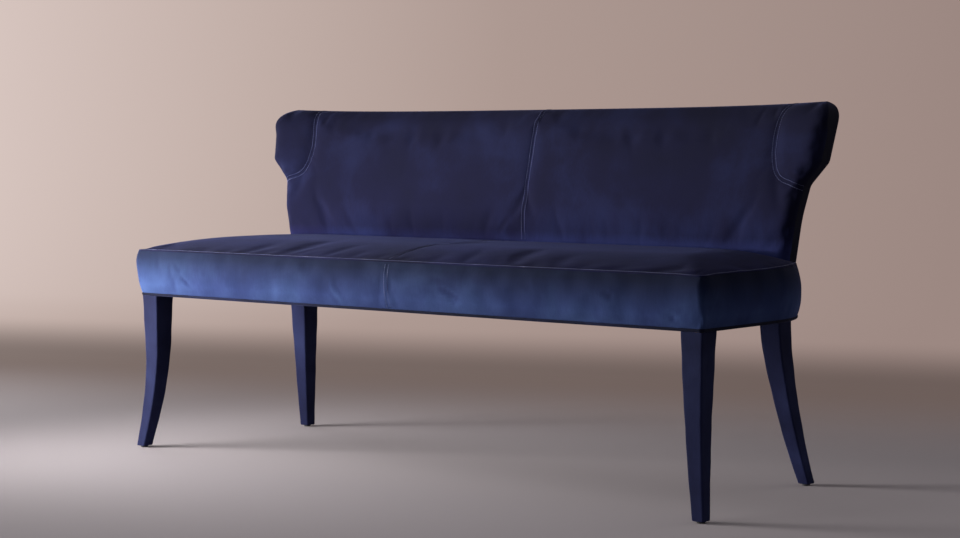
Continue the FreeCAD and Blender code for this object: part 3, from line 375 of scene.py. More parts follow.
for share in (0.0, 0.03, 0.08, 0.16, 0.25, 0.35, 0.45, 0.55, 0.65, 0.75, 0.84, 0.91, 0.96, 1.0):
    row = np.full((len(rim), 3), BAND_LOW + (SEAM_HEIGHT - BAND_LOW) * share)
    row[:, :2] = rim[:, :2] + rim[:, 2:4] * band_stand(share, rim)[:, None]
    if share == 1.0:
        row[:, 2] = edge_heights
    band_rows.append(row)
    row = top_grid[-1].copy()
    row[:, 2] = BAND_LOW + (row[:, 2] - BAND_LOW) * share
    row[-1] = band_rows[-1][-1]
    wall_rows.append(row)
band_grid, wall_grid = np.array(band_rows), np.array(wall_rows)
under_rim = np.concatenate([band_grid[0], wall_grid[0][::-1][1:]])
under_middle = np.array([0.0, 0.25, BAND_LOW])
under_grid = np.array([under_middle + (under_rim - under_middle) * [1 - part, 1 - 3 * part, 1]
                       for part in (0.0, 0.006, 0.02)])


def mirrored(name, grids, materials):
    """A mesh of half grids and their mirror images, in the place of the seat, to be merged at the middle."""
    points, faces, groups = [], [], []
    for number, grid in enumerate(grids):
        rows, columns = grid.shape[:2]
        for side in (1, -1):
            start = len(points)
            points.extend((grid * [side, 1, 1] + [0, FRONT_EDGE, 0]).reshape(-1, 3).tolist())
            corners = [start + r * columns + c for r in range(rows - 1) for c in range(columns - 1)]
            faces.extend((k, k + 1, k + columns + 1, k + columns) for k in corners)
            groups.extend([number] * len(corners))
    piece = new_mesh(name, points, faces, *materials)
    piece.data.polygons.foreach_set("material_index", groups)
    return piece


def outward(piece, merge=0.0, open_below=False):
    """Merges doubles, fills a hole left in the underside, and turns the normals outward."""
    only(piece)
    bpy.ops.object.mode_set(mode="EDIT")
    bpy.ops.mesh.select_all(action="SELECT")
    if merge:
        bpy.ops.mesh.remove_doubles(threshold=merge)
    if open_below:
        bpy.ops.mesh.select_all(action="DESELECT")
        bpy.ops.mesh.select_mode(type="EDGE")
        bpy.ops.mesh.select_non_manifold(
            extend=False, use_wire=False, use_boundary=True, use_multi_face=False, use_non_contiguous=False,
            use_verts=False)
        bpy.ops.mesh.fill(use_beauty=False)
        bpy.ops.mesh.select_mode(type="VERT")
        bpy.ops.mesh.select_all(action="SELECT")
    bpy.ops.mesh.normals_make_consistent(inside=False)
    bpy.ops.object.mode_set(mode="OBJECT")
    return piece


def mapped(tree, place, scale=(1.0, 1.0, 1.0), location=(0.0, 0.0, 0.0)):
    """A place moved and stretched."""
    return add_node(tree, "Mapping", {"Vector": place, "Scale": scale, "Location": location}).outputs[0]


def noise(tree, place, scale, detail, roughness=0.5, distortion=0.0):
    """The value of a noise at a place."""
    return add_node(tree, "TexNoise", {
        "Vector": place, "Scale": scale, "Detail": detail, "Roughness": roughness,
        "Distortion": distortion}).outputs["Fac"]


def bumped(tree, height, strength, depth, **more):
    """A normal tilted by a height."""
    inputs = {"Height": height, "Strength": strength, "Distance": depth, **more}
    return add_node(tree, "Bump", inputs).outputs[0]


def velvet(name, deep, mid, light, seed, sheen, lift=0.0, painted_light_by_height=((0.0, 1.0), (1.0, 1.0))):
    """Cotton velvet: deep colour into the pile, a pale bloom where the pile is seen edge on, and clouds
    where hands have brushed it. Pile grain is about 1 mm, drawn coarser than the real 0.3 mm to show.
    Painted light by height: a panel is made paler toward its foot and darker toward its top, as the light
    fell on it, given as heights and the shade at each. In a crease the colour is darkened by painted shade,
    with paler sides."""
    material, tree, output, place = new_material(name)
    moved = mapped(tree, place, location=(seed, seed * 0.7, seed * 0.3))
    clouds = noise(tree, moved, 4.5, 4.0, 0.55, 0.6)
    smudges = noise(tree, mapped(tree, moved, (1.0, 1.0, 0.55)), 15.0, 3.0, 0.5, 0.5)
    grain = noise(tree, place, 620.0, 2.0)
    pile = noise(tree, mapped(tree, place, (1.0, 1.0, 0.12)), 340.0, 2.0)
    fine = worked(tree, "ADD", grain, pile)
    brushed = worked(tree, "MULTIPLY_ADD", smudges, 0.34, clouds)
    mixed = worked(tree, "MULTIPLY_ADD", fine, 0.16, brushed)
    tone = ranged(tree, mixed, 0.53 - lift, 1.13 - lift)
    # Painted light and shade by height: the colour is scaled up toward a panel's foot and down toward its top
    height = add_node(tree, "SeparateXYZ", {"Vector": place}).outputs["Z"]
    foot, top = painted_light_by_height[0][0], painted_light_by_height[-1][0]
    painted_light_quarters = ramp(tree, ranged(tree, height, foot, top), [
        ((level - foot) / (top - foot), (shade / 4, shade / 4, shade / 4, 1)) for level, shade in painted_light_by_height])
    tone = worked(tree, "ADD", tone, worked(tree, "SUBTRACT", painted_light_quarters, 0.25))
    # Painted shade in creases and painted highlight beside them and on ridges, read from the piece's
    # attribute
    turned = add_node(tree, "Attribute", attribute_name="painted_crease_shade").outputs["Fac"]
    tone = worked(tree, "MULTIPLY_ADD", turned, -0.15, tone)
    colour = ramp(tree, tone, ((0.0, linear(deep)), (0.5, linear(mid)), (1.0, linear(light))))
    shaded = add_node(tree, "VectorMath", {0: colour, 1: painted_light_quarters}, operation="MULTIPLY").outputs[0]
    shaded = add_node(tree, "VectorMath", {0: shaded, "Scale": 4.0}, operation="SCALE").outputs[0]
    normal = bumped(tree, smudges, 0.5, 0.0016, Normal=bumped(tree, fine, 0.35, 0.0006))
    surfaced(tree, output, {
        "Base Color": shaded, "Roughness": 0.92, "Specular IOR Level": 0.12, "Sheen Weight": sheen,
        "Sheen Roughness": 0.27, "Sheen Tint": linear("#7d86cf"), "Normal": normal})
    return material


# One velvet in lit and shaded copies: the band paler, the seat top and back darker, partly from the way each
# panel's nap runs and partly as painted light and painted shade
velvet_top = velvet("velvet_seat_top", "#08091e", "#0c0d2b", "#15173c", 1.0, 0.085)
# Band and back: painted light toward the foot and painted shade toward the top, as heights and shades
velvet_band = velvet("velvet_seat_band", "#111a38", "#1b2547", "#273557", 4.0, 0.19, 0.05,
                     ((0.378, 1.45), (0.40, 1.55), (0.43, 1.1), (0.465, 0.5), (0.482, 0.35)))
velvet_back = velvet("velvet_back", "#08081d", "#0b0b25", "#151938", 9.0, 0.12, 0.0,
                     ((0.49, 2.4), (0.515, 2.2), (0.535, 1.4), (0.60, 1.1), (0.72, 0.9), (0.80, 0.8)))
# The back's end border: the back's velvet made greyer and less blue, as painted shade for the ends that face
# away from the light
velvet_border_painted_shade = velvet("velvet_back_border_painted_shade", "#0a0a17", "#0f0f1c", "#161727", 11.0, 0.3)


def triples(values, name):
    """Points or directions read from a mesh."""
    flat = np.empty(len(values) * 3)
    values.foreach_get(name, flat)
    return flat.reshape(-1, 3)


def points_of(piece):
    return triples(piece.data.vertices, "co")


def tightened(piece, anchored, puff, cap, frames=20):
    """Cloth under light pressure: the cover swells between the seams where it is anchored. Its movement is
    capped, and applied, so that no simulation is left on the piece."""
    rest = points_of(piece)
    group = piece.vertex_groups.new(name="seams")
    for weight in (1.0, 0.75, 0.5, 0.25):
        chosen = np.nonzero((anchored >= weight) & (anchored < weight + 0.25))[0]
        if len(chosen):
            group.add(chosen.tolist(), weight, "REPLACE")
    cloth = only(piece).modifiers.new("cloth", "CLOTH")
    stuff = dict(quality=5, mass=0.25, tension_stiffness=12, compression_stiffness=8, shear_stiffness=5,
                 bending_stiffness=0.6, use_pressure=True, uniform_pressure_force=puff, shrink_min=-0.012,
                 vertex_group_mass="seams", pin_stiffness=1.0)
    for setting, value in stuff.items():
        setattr(cloth.settings, setting, value)
    cloth.settings.effector_weights.gravity = 0.0
    cloth.collision_settings.use_self_collision = False
    cloth.collision_settings.use_collision = False
    cloth.point_cache.frame_end = frames
    for number in range(1, frames + 1):
        scene.frame_set(number)
    bpy.ops.object.modifier_apply(modifier=cloth.name)
    scene.frame_set(1)
    moved = points_of(piece) - rest
    length = np.linalg.norm(moved, axis=1, keepdims=True) + 1e-9
    moved = moved * (cap * np.tanh(length / cap) / length)
    piece.data.vertices.foreach_set("co", (rest + moved).ravel())
    piece.vertex_groups.clear()


def subdivided(piece):
    """One level of subdivision, applied."""
    modifier = only(piece).modifiers.new("finer", "SUBSURF")
    modifier.levels = modifier.render_levels = 1
    bpy.ops.object.modifier_apply(modifier=modifier.name)
    smoothed(piece)
    piece.data.update()


def creased(piece, marks):
    """Presses short soft creases into a cover and darkens its colour along each with painted shade, with
    painted highlight at the sides. A mark, in mm: its two ends in the front view, width and depth; one of
    negative depth is a raised ridge with painted highlight."""
    spots, normals = points_of(piece), triples(piece.data.vertex_normals, "vector")
    view = spots[:, [0, 2]]
    facing = normals[:, 1] < -0.5
    turned = np.zeros(len(spots))
    for x, z, end_x, end_z, width, depth in marks:
        start, way = np.array([x, z]) * MM, np.array([end_x - x, end_z - z]) * MM
        share = np.clip((view - start) @ way / (way @ way), 0, 1)
        away = np.linalg.norm(view - start - share[:, None] * way, axis=1) / (width * MM)
        pressed = np.exp(-away ** 2) - 0.5 * np.exp(-((away - 1.7) / 0.8) ** 2)
        turned += depth * pressed * np.sin(math.pi * (0.15 + 0.7 * share)) * facing
    spots -= normals * (turned * MM)[:, None]
    piece.data.vertices.foreach_set("co", spots.ravel())
    # The same amount is kept as painted crease shade for the velvet's colour
    piece.data.attributes.new("painted_crease_shade", "FLOAT", "POINT").data.foreach_set("value", turned)
    piece.data.update()


seat = outward(mirrored("seat_cushion", [top_grid, band_grid, wall_grid, under_grid],
                        [velvet_top, velvet_band, velvet_top, velvet_top]), MERGE, open_below=True)
spots = points_of(seat)
pins = np.zeros(len(spots))
pins[np.abs(spots[:, 0]) < 0.001] = 0.75
pins[np.abs(spots[:, 2] - SEAM_HEIGHT) < 0.0025] = 1.0
pins[spots[:, 2] < BAND_LOW + 0.006] = 1.0
pins[spots[:, 1] - FRONT_EDGE > back_face(spots[:, 0]) - 0.004] = 1.0
tightened(seat, pins, puff=1.0, cap=0.002)
subdivided(seat)
creased(seat, [(-654, 421, -631, 401, 5, 2.6), (-671, 448, -660, 430, 6, 1.8),
               (-694, 446, -679, 391, 6, 1.5), (-640, 455, -646, 425, 8, -0.9),
               (-735, 462, -726, 425, 7, 1.3), (-252, 476, -252, 456, 9, 1.2),
               (-168, 442, -162, 414, 7, -1.3), (-162, 414, -138, 386, 7, -1.5),
               (150, 430, 199, 408, 6, 2.6), (174, 408, 190, 398, 5, 2.4), (135, 445, 165, 440, 8, 1.4),
               (375, 452, 392, 432, 8, 1.2), (578, 440, 590, 428, 6, 2.6), (727, 403, 743, 388, 5, 2.4),
               (758, 415, 766, 394, 5, 1.8), (560, 415, 556, 392, 7, 1.0)])
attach(seat, "root")
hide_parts("seat_band_left", "seat_band_right", "seat_top_cover_left", "seat_top_cover_right",
            "seat_wadding", "seat_foam", "seat_edge_foam")

# Back cushion: thin boards on posts, foam, wadding and velvet all round. It leans from a bend above
# the seat, rolls over at its top, curls forward at the ends, and widens into two small wings over a
# notch. Two inside panels, two wing panels and two plain panels for the outside back are sewn together.
BACK_THICK = 0.060
BACK_LOW = 0.3719
BACK_HALF = 0.79
CREST = 0.820
CREST_ROUND = 0.013
ROLL_START = 0.782
ROLL_TURN = math.radians(71.2)
END_ROUND = 0.012
FRONT_END_ROUND = 0.026
WING_STAND = 0.0055
SEAM_SINK = 0.0016
CURL = 0.009
THINNEST = 0.0006
FIFTHS = (0.0, 0.2, 0.4, 0.6, 0.8, 1.0)


def lean(z):
    """Rearward lean of the back at a height."""
    knee = np.clip((z - 0.557) / 0.045, 0, 1)
    return 0.0055 * knee ** 2 + 0.0445 / 0.180 * np.clip(z - 0.602, 0, None)


def back_top(x):
    """Height of the back's top edge."""
    return CREST + 0.008 * (np.abs(x) / SEAT_HALF) ** 4


def rounded_line(corners, radii, step=0.0015):
    """A line through corner points whose corners are rounded."""
    corners = np.array(corners, float)
    line = [corners[0]]
    for before, corner, after, radius in zip(corners, corners[1:], corners[2:], radii):
        back_way = (before - corner) / np.linalg.norm(before - corner)
        on_way = (after - corner) / np.linalg.norm(after - corner)
        half = math.acos(np.clip(back_way @ on_way, -1, 1)) / 2
        reach = radius / math.tan(half)
        centre = corner + (back_way + on_way) / np.linalg.norm(back_way + on_way) * radius / math.sin(half)
        first, last = corner + back_way * reach - centre, corner + on_way * reach - centre
        swing = math.pi - 2 * half
        for share in np.linspace(0, 1, max(4, int(swing * radius / step))):
            mixed = (math.sin((1 - share) * swing) * first + math.sin(share * swing) * last) / math.sin(swing)
            line.append(centre + mixed)
    return np.array(line)


side_corners = (0.723, 0.30), (0.727, 0.47), (0.757, 0.648), (0.798, 0.697), (0.812, 0.828), (0.70, 0.828)
side_rounds = 0.018, 0.018, 0.016, 0.038
side_line = resampled(rounded_line(side_corners, side_rounds), np.linspace(0, 1, 700))
wing_seam = np.array([
    (0.7605, 0.6405), (0.7375, 0.6520), (0.7080, 0.6620), (0.6905, 0.6790), (0.6812, 0.7060),
    (0.6780, 0.7340), (0.6795, 0.7650), (0.6860, 0.7990), (0.6925, 0.8170), (0.6960, 0.8260)])
wing_steps = np.linspace(0, len(wing_seam) - 1, 240)
wing_path = np.stack([eased(range(len(wing_seam)), values, wing_steps) for values in wing_seam.T], axis=1)


def end_of_height(z):
    """Half width of the back at a height."""
    return np.interp(z, side_line[:, 1], side_line[:, 0])


def near_line(spots, line):
    """Distance of each point from a line given by close points."""
    found = np.full(len(spots), 1.0)
    for start in range(0, len(spots), 4000):
        part = spots[start:start + 4000]
        found[start:start + 4000] = np.linalg.norm(part[:, None] - line[None], axis=2).min(axis=1)
    return found


def wing_puff(spots, edge):
    """How far the stuffed wing panels stand out between their seam and the back's edge."""
    stand = np.zeros(len(spots))
    close = np.nonzero((spots[:, 0] > 0.655) & (spots[:, 1] > 0.62))[0]
    part = spots[close]
    seam_side = np.interp(part[:, 1], wing_path[:, 1], wing_path[:, 0])
    away = near_line(part, wing_path)
    inside = (part[:, 0] > seam_side) & (part[:, 1] > 0.645)
    risen = np.clip(np.minimum(away, edge[close]) / 0.030, 0, 1)
    swell = np.where(inside, WING_STAND * np.sin(risen * math.pi / 2), 0.0)
    stand[close] = swell - SEAM_SINK * np.exp(-(away / 0.007) ** 2)
    return stand


def back_sheets(x, z):
    """Depths of the back's front and rear surface at points of its front view."""
    crest_height, base = back_top(x), back_face(x)
    crest_depth = base + BACK_THICK + lean(crest_height - CREST_ROUND) - CREST_ROUND
    run, rise = crest_depth - base - lean(ROLL_START), crest_height - ROLL_START
    radius = (run ** 2 + rise ** 2) / (2 * rise)
    below = np.clip(crest_height - z, 0, None)
    rolled = crest_depth - np.sqrt(np.clip(radius ** 2 - (radius - below) ** 2, 0, None))
    near = np.where(z > ROLL_START, rolled, base + lean(z))
    turned = crest_depth + np.sqrt(np.clip(CREST_ROUND ** 2 - (CREST_ROUND - below) ** 2, 0, None))
    far = np.where(below < CREST_ROUND, turned, base + BACK_THICK + lean(z))
    flat = np.stack([np.abs(x), z], axis=-1).reshape(-1, 2)
    edge = np.full(len(flat), 1.0)
    close = flat[:, 0] > 0.65
    edge[close] = near_line(flat[close], side_line)
    stand = wing_puff(flat, edge).reshape(x.shape)
    edge = edge.reshape(x.shape)

    def rounding(radius):
        return radius - np.sqrt(radius ** 2 - np.clip(radius - edge, 0, radius) ** 2)

    soft_end = np.clip((ROLL_START + 0.02 - z) / 0.04, 0.45, 1)
    curl = CURL * clear_share(np.abs(x), 0.69, 0.80) ** 1.5 * clear_share(z, 0.63, 0.70)
    near, far = near + rounding(FRONT_END_ROUND) * soft_end - curl - stand, far - rounding(END_ROUND)
    middle, half = (near + far) / 2, np.maximum((far - near) / 2, THINNEST)
    return middle - half, middle + half


columns = graded(BACK_HALF, 0.0025, 0.0008)
roll_angles = np.radians([62, 53, 44.5, 36, 27, 18, 9, 0])
roll_shares = (1 - np.cos(roll_angles)) / (1 - math.cos(ROLL_TURN))
levels = [np.full(len(columns), z) for z in np.concatenate([
    np.arange(BACK_LOW, 0.625, 0.009), np.arange(0.628, 0.712, 0.005),
    np.arange(0.718, ROLL_START - 0.003, 0.008), [ROLL_START]])]
crest_height = back_top(columns * BACK_HALF)
levels += [crest_height - (crest_height - ROLL_START) * share for share in roll_shares]
back_z = np.array(levels)
back_x = columns * end_of_height(np.minimum(back_z, 0.8275))
near, far = back_sheets(back_x, back_z)
near[-1] = far[-1] = (near[-1] + far[-1]) / 2
front_sheet, rear_sheet = np.stack([back_x, near, back_z], axis=2), np.stack([back_x, far, back_z], axis=2)
between = [front_sheet * (1 - share) + rear_sheet * share for share in FIFTHS]
end_strip = np.stack([sheet[:, -1] for sheet in between], axis=1)
under_strip = np.stack([sheet[0] for sheet in between])

back = outward(mirrored("back_cushion", [front_sheet, rear_sheet, end_strip, under_strip],
                        [velvet_back, velvet_back, velvet_border_painted_shade, velvet_back]), MERGE)
spots = points_of(back)
view = np.stack([np.abs(spots[:, 0]), spots[:, 2]], axis=1)
faces_front = spots[:, 1] - FRONT_EDGE < back_face(spots[:, 0]) + lean(spots[:, 2]) + 0.040
pins = np.zeros(len(spots))
pins[np.abs(spots[:, 0]) < 0.001] = 0.75
pins[(near_line(view, wing_path) < 0.004) & faces_front] = 0.75
pins[near_line(view, side_line) < 0.006] = 1.0
pins[spots[:, 2] < BACK_LOW + 0.012] = 1.0
pins[(np.abs(spots[:, 2] - 0.50) < 0.02) & faces_front] = 0.5
pins[spots[:, 2] > back_top(spots[:, 0]) - 0.006] = 0.75
tightened(back, pins, puff=2.0, cap=0.005)
subdivided(back)
creased(back, [(-45, 560, -70, 530, 6, 1.3), (630, 812, 622, 785, 6, 1.2), (662, 812, 668, 790, 6, 1.1),
               (-655, 812, -660, 786, 6, 1.0), (735, 672, 755, 664, 6, 1.4), (-735, 672, -755, 664, 6, 1.2)])
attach(back, "root")
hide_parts("back_foam", "back_wadding", "wing_foam_left", "wing_foam_right", "inside_back_cover_left",
            "inside_back_cover_right", "wing_cover_left", "wing_cover_right", "outside_back_cover_left",
            "outside_back_cover_right", "back_end_border_left", "back_end_border_right")

# Seams: the panels are joined edge to edge and topstitched through both sides with thick thread, so a
# seam is a low double ridge with a line at its middle and a row of stitches 5 mm to either side. The
# edge round the seat's top has one ridge and one row.
SEAM_STEP = 0.0013
STITCH_PITCH = 0.0052
STITCH_LENGTH = 0.0038
THREAD = 0.00038
ROWS = -5.0, 5.0
HALF_RIDGE = (8.0, -0.5), (6.6, 0.08), (5.6, 0.06), (5.0, -0.04), (4.2, 0.2), (2.6, 0.48), (1.0, 0.42)
DOUBLE_RIDGE = (*((-across, height) for across, height in HALF_RIDGE), (0.0, -0.15), *HALF_RIDGE[::-1])
SINGLE_RIDGE = ((-3.2, -0.5), (-1.6, 0.2), (0.0, 0.6), (1.8, 0.6), (3.4, 0.4), (4.6, 0.0), (5.6, 0.15),
                (7.2, -0.5))
STITCH_SHAPE = ((-0.5, 0.35, -0.30), (-0.42, 0.9, 0.15), (-0.15, 1.0, 0.55), (0.15, 1.0, 0.55),
                (0.42, 0.9, 0.15), (0.5, 0.35, -0.30))


def finished(made, tone, dark, pale, relief=None, **inputs):
    """Completes a material: a texture between two tones, a relief of height, strength and depth, and more."""
    material, tree, output, place = made
    values = {name.replace("_", " "): value for name, value in inputs.items()}
    if relief:
        values["Normal"] = bumped(tree, *relief)
    colour = ramp(tree, tone, ((0.0, linear(dark)), (1.0, linear(pale))))
    surfaced(tree, output, {"Base Color": colour, **values})
    return material


def unit(ways):
    return ways / np.linalg.norm(ways, axis=-1, keepdims=True)


def tube_faces(count, around, start=0, capped=True):
    """Faces of a tube of closed rings, with a cap on each end."""
    faces = [(start + k * around + a, start + k * around + (a + 1) % around,
              start + (k + 1) * around + (a + 1) % around, start + (k + 1) * around + a)
             for k in range(count - 1) for a in range(around)]
    if capped:
        faces.append(tuple(start + a for a in reversed(range(around))))
        faces.append(tuple(start + (count - 1) * around + a for a in range(around)))
    return faces


def laid_on(surface, points):
    """The nearest surface points and their normals."""
    found = [surface.find_nearest(Vector(point)) for point in points]
    return np.array([spot for spot, *rest in found]), np.array([normal for spot, normal, *rest in found])


def seam(name, piece, path, ridge, rows, material):
    """A swept ridge that lies on the piece along a path, and the threads sewn through it."""
    surface = BVHTree.FromPolygons([tuple(point) for point in points_of(piece)],
                                   [tuple(face.vertices) for face in piece.data.polygons])
    count = max(3, int(runs_along(path)[-1] / SEAM_STEP) + 1)
    spots, normals = laid_on(surface, resampled(path, np.linspace(0, 1, count)) + [0, FRONT_EDGE, 0])
    for turn in range(3):
        normals[1:-1] = (normals[:-2] + 2 * normals[1:-1] + normals[2:]) / 4
        spots[1:-1] = (spots[:-2] + 2 * spots[1:-1] + spots[2:]) / 4
    runs, ways = runs_along(spots), unit(np.gradient(spots, axis=0))
    sides = unit(np.cross(ways, normals))
    pull = 0.5 + 0.5 * np.cos(2 * math.pi * runs / STITCH_PITCH)
    sections = []
    for across_mm, height_mm in ridge:
        base, normals = laid_on(surface, spots + sides * across_mm * MM)
        near_row = sum(math.exp(-((across_mm - row) / 1.2) ** 2) for row in rows)
        height = (height_mm - 0.22 * near_row * pull) * MM
        sections.append(base + normals * height[:, None])
    for across_mm in (ridge[-1][0], ridge[0][0]):
        base, normals = laid_on(surface, spots + sides * across_mm * MM)
        sections.append(base - normals * 1.5 * MM)
    loops = np.array(sections[::-1]).transpose(1, 0, 2)
    strip = outward(new_mesh(name, loops.reshape(-1, 3), tube_faces(*loops.shape[:2]), material))

    points, faces = [], []
    ring = [(math.cos(turn), math.sin(turn)) for turn in np.linspace(2 * math.pi, 0, 7)[:-1]]
    for row in rows:
        ridge_height = np.interp(row, [place for place, height in ridge], [height for place, height in ridge])
        for number in range(int(runs[-1] / STITCH_PITCH)):
            middle = (number + 0.5) * STITCH_PITCH
            centre, way, side = [at_run(middle, runs, values) for values in (spots, ways, sides)]
            (base,), (normal,) = laid_on(surface, [centre + side * row * MM])
            centre = base + normal * (ridge_height + 0.12) * MM
            way = unit(way - normal * (way @ normal))
            side = np.cross(way, normal)
            faces.extend(tube_faces(len(STITCH_SHAPE), len(ring), len(points)))
            for run_share, girth, rise in STITCH_SHAPE:
                hub = centre + way * run_share * STITCH_LENGTH + normal * rise * THREAD
                points.extend(hub + (side * cosine + normal * sine) * THREAD * girth for cosine, sine in ring)
    threads = new_mesh(name + "_stitches", points, faces, thread)
    for made in (strip, threads):
        smoothed(made)
        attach(made, "root")


# Polyester sewing thread: a shade paler than the velvet, so the stitches show as fine pale dashes
made = new_material("polyester_sewing_thread")
thread = finished(made, noise(made[1], made[3], 160.0, 2.0), "#2c3158", "#63699c",
                  Roughness=0.5, Sheen_Weight=0.3, Sheen_Roughness=0.4)

band_middle = np.stack([np.zeros(30), -band_stand(np.linspace(0, 1, 30), np.tile(front_edge[0], (30, 1))),
                        np.linspace(BAND_LOW + 0.003, SEAM_HEIGHT - 0.002, 30)], axis=1)
seam("band_middle_seam", seat, band_middle, DOUBLE_RIDGE, ROWS, velvet_band)
top_y = np.linspace(0.006, 0.474, 60)
top_middle = np.stack([np.zeros(60), top_y, seat_top_height(np.zeros(60), top_y)], axis=1)
seam("top_middle_seam", seat, top_middle, DOUBLE_RIDGE, ROWS, velvet_top)
edge_half = np.concatenate([np.concatenate([low, right[1:]]), edge_heights[:, None]], axis=1)[:-3]
edge_path = np.concatenate([edge_half[::-1], edge_half[1:] * [-1, 1, 1]])
seam("top_edge_seam", seat, edge_path, SINGLE_RIDGE, (4.6,), velvet_top)
roll_heights = CREST - (CREST - ROLL_START) * roll_shares
back_heights = np.concatenate([np.linspace(0.512, ROLL_START, 60), roll_heights])
middle_x = np.zeros(len(back_heights))
near_middle, far_middle = [np.stack([middle_x, depths, back_heights], axis=1)
                           for depths in back_sheets(middle_x, back_heights)]
lower_rear = [(0.0, 0.540, z) for z in np.linspace(0.50, 0.385, 20)]
back_middle = np.concatenate([near_middle, far_middle[:-1][::-1], lower_rear])
seam("back_middle_seam", back, back_middle, DOUBLE_RIDGE, ROWS, velvet_back)
wing_depths = back_sheets(wing_path[:, 0], wing_path[:, 1])[0]
near_wing = np.stack([wing_path[:, 0], wing_depths, wing_path[:, 1]], axis=1)
for side, name in ((1, "right"), (-1, "left")):
    seam(f"wing_seam_{name}", back, near_wing[6:] * [side, 1, 1], DOUBLE_RIDGE, ROWS, velvet_back)

# Welt: piping cord in a bias strip of the same velvet, sewn in along the lower edge of the band. It
# runs from one end of the back round the front to the other and lies under the band.
WELT_RADIUS = 0.0040
WELT_HEIGHT = 0.3752
WELT_INSET = 0.0030
GATHER = 0.00022
velvet_welt = velvet("velvet_piping", "#080918", "#0d0f22", "#171b39", 14.0, 0.2)
half_line = resampled(outline, np.linspace(0, 1, 460))
half_line = half_line[:, :2] - half_line[:, 2:4] * WELT_INSET
welt_line = np.concatenate([half_line[::-1], half_line[1:] * [-1, 1]])
welt_line = np.concatenate([welt_line + [0, FRONT_EDGE], np.full((len(welt_line), 1), WELT_HEIGHT)], axis=1)
rng = np.random.default_rng(7)
gathers = np.convolve(rng.normal(0, 1, len(welt_line) + 8), np.ones(9) / 9, "valid") * GATHER
welt_sides = np.cross(unit(np.gradient(welt_line, axis=0)), [0.0, 0.0, 1.0])
reach = (WELT_RADIUS + gathers)[:, None]
rings = np.stack([welt_line + (welt_sides * math.cos(turn) + [0, 0, math.sin(turn)]) * reach
                  for turn in np.linspace(2 * math.pi, 0, 15)[:-1]], axis=1)
welt = new_mesh("seat_welt_cord", rings.reshape(-1, 3), tube_faces(*rings.shape[:2]), velvet_welt)
smoothed(welt)
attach(welt, "root")
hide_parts("seat_welt")

# Legs: beech sabre legs, square in section, in tight velvet sleeves. A sleeve is glued to the wood,
# closed along the inner rear edge with a hand-sewn seam, and turned under at the foot round the glide.
LEG_TOP = 0.3713
FOOT = 0.0046
LEG_EDGE = 0.0035
LEG_SEAM = 0.0007
LEG_WIDTH = 0.051, 0.027
LEG_DEPTH = 0.0535, 0.027
SLEEVE = 0.0010
SLEEVE_WAVE = 0.01
# Leg sleeves: painted light toward the foot and a little painted shade at the top, as heights and shades
velvet_leg = velvet("velvet_leg_sleeve", "#0e1024", "#171a36", "#232848", 21.0, 0.17, 0.02,
                    ((0.0, 1.2), (0.37, 0.9)))
front_kicks = (0.0, 0.0, 0.02, 0.2, 0.54, 1.0)
rear_kicks = (0.0, 0.085, 0.25, 0.46, 0.71, 1.0)
LEGS = (("front", 0.7745, 0.0295, 0.0245, -0.0255, front_kicks),
        ("rear", 0.694, float(back_face(0.694)) + 0.019, 0.047, 0.059, rear_kicks))
CORNERS = ((1, 1), (-1, 1), (-1, -1), (1, -1))


def leg_section(half_x, half_y, seam_corner):
    """One level section of a sleeve as offsets from the leg's middle, its seam standing proud at a corner."""
    places = []
    centres = np.array(CORNERS) * [half_x - LEG_EDGE, half_y - LEG_EDGE]
    for number, (to_x, to_y) in enumerate(CORNERS):
        start = math.atan2(to_y, to_x) - math.pi / 4
        for share in (0.0, 0.33, 0.66, 1.0):
            turn = start + math.pi / 2 * share
            reach = LEG_EDGE + (LEG_SEAM if number == seam_corner and 0 < share < 1 else 0.0)
            places.append(centres[number] + reach * np.array([math.cos(turn), math.sin(turn)]))
        offset = LEG_EDGE * np.array([math.cos(turn), math.sin(turn)])
        for share in (0.12, 0.3, 0.5, 0.7, 0.88):
            places.append(centres[number] * (1 - share) + centres[(number + 1) % 4] * share + offset)
    return np.array(places)


def thickened(piece, thickness, offset):
    """Gives a sheet its thickness."""
    wall = piece.modifiers.new("thickness", "SOLIDIFY")
    wall.thickness, wall.offset = thickness, offset
    bpy.ops.object.modifier_apply(modifier=wall.name)


for number in range(4):
    end, x, y, kick_x, kick_y, kicks = LEGS[number // 2]
    side, side_name = ((-1, "left"), (1, "right"))[number % 2]
    rows = []
    for down in np.concatenate([[0.0, 0.008], np.linspace(0.03, 0.97, 40), [0.985, 0.993, 1.0]]):
        kick = float(eased(FIFTHS, kicks, down))
        half_x, half_y = [(top + (foot - top) * down) / 2 for top, foot in (LEG_WIDTH, LEG_DEPTH)]
        section = leg_section(half_x, half_y, 1 if side > 0 else 0)
        z = LEG_TOP - (LEG_TOP - FOOT) * down
        wave = 2 + np.sin(z * 95 + number * 2 + section[:, 0] * 120) + np.sin(z * 41 + section[:, 1] * 160)
        section = section * (1 + SLEEVE_WAVE * wave)[:, None]
        rows.append(np.concatenate([section + [side * (x + kick_x * kick), y + kick_y * kick + FRONT_EDGE],
                                    np.full((len(section), 1), z)], axis=1))
    middle, last = rows[-1].mean(axis=0), rows[-1]
    rows.append(middle + (last - middle) * [0.9, 0.9, 1] - [0, 0, 0.0006])
    rows.append(middle + (last - middle) * [0.7, 0.7, 1] - [0, 0, 0.0006])
    rows = np.array(rows)
    sleeve = outward(new_mesh(f"leg_velvet_{end}_{side_name}", rows.reshape(-1, 3),
                              tube_faces(*rows.shape[:2], capped=False), velvet_leg))
    thickened(sleeve, SLEEVE, -1.0)
    subdivided(sleeve)
    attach(sleeve, "root")
    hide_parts(f"leg_sleeve_{end}_{side_name}")

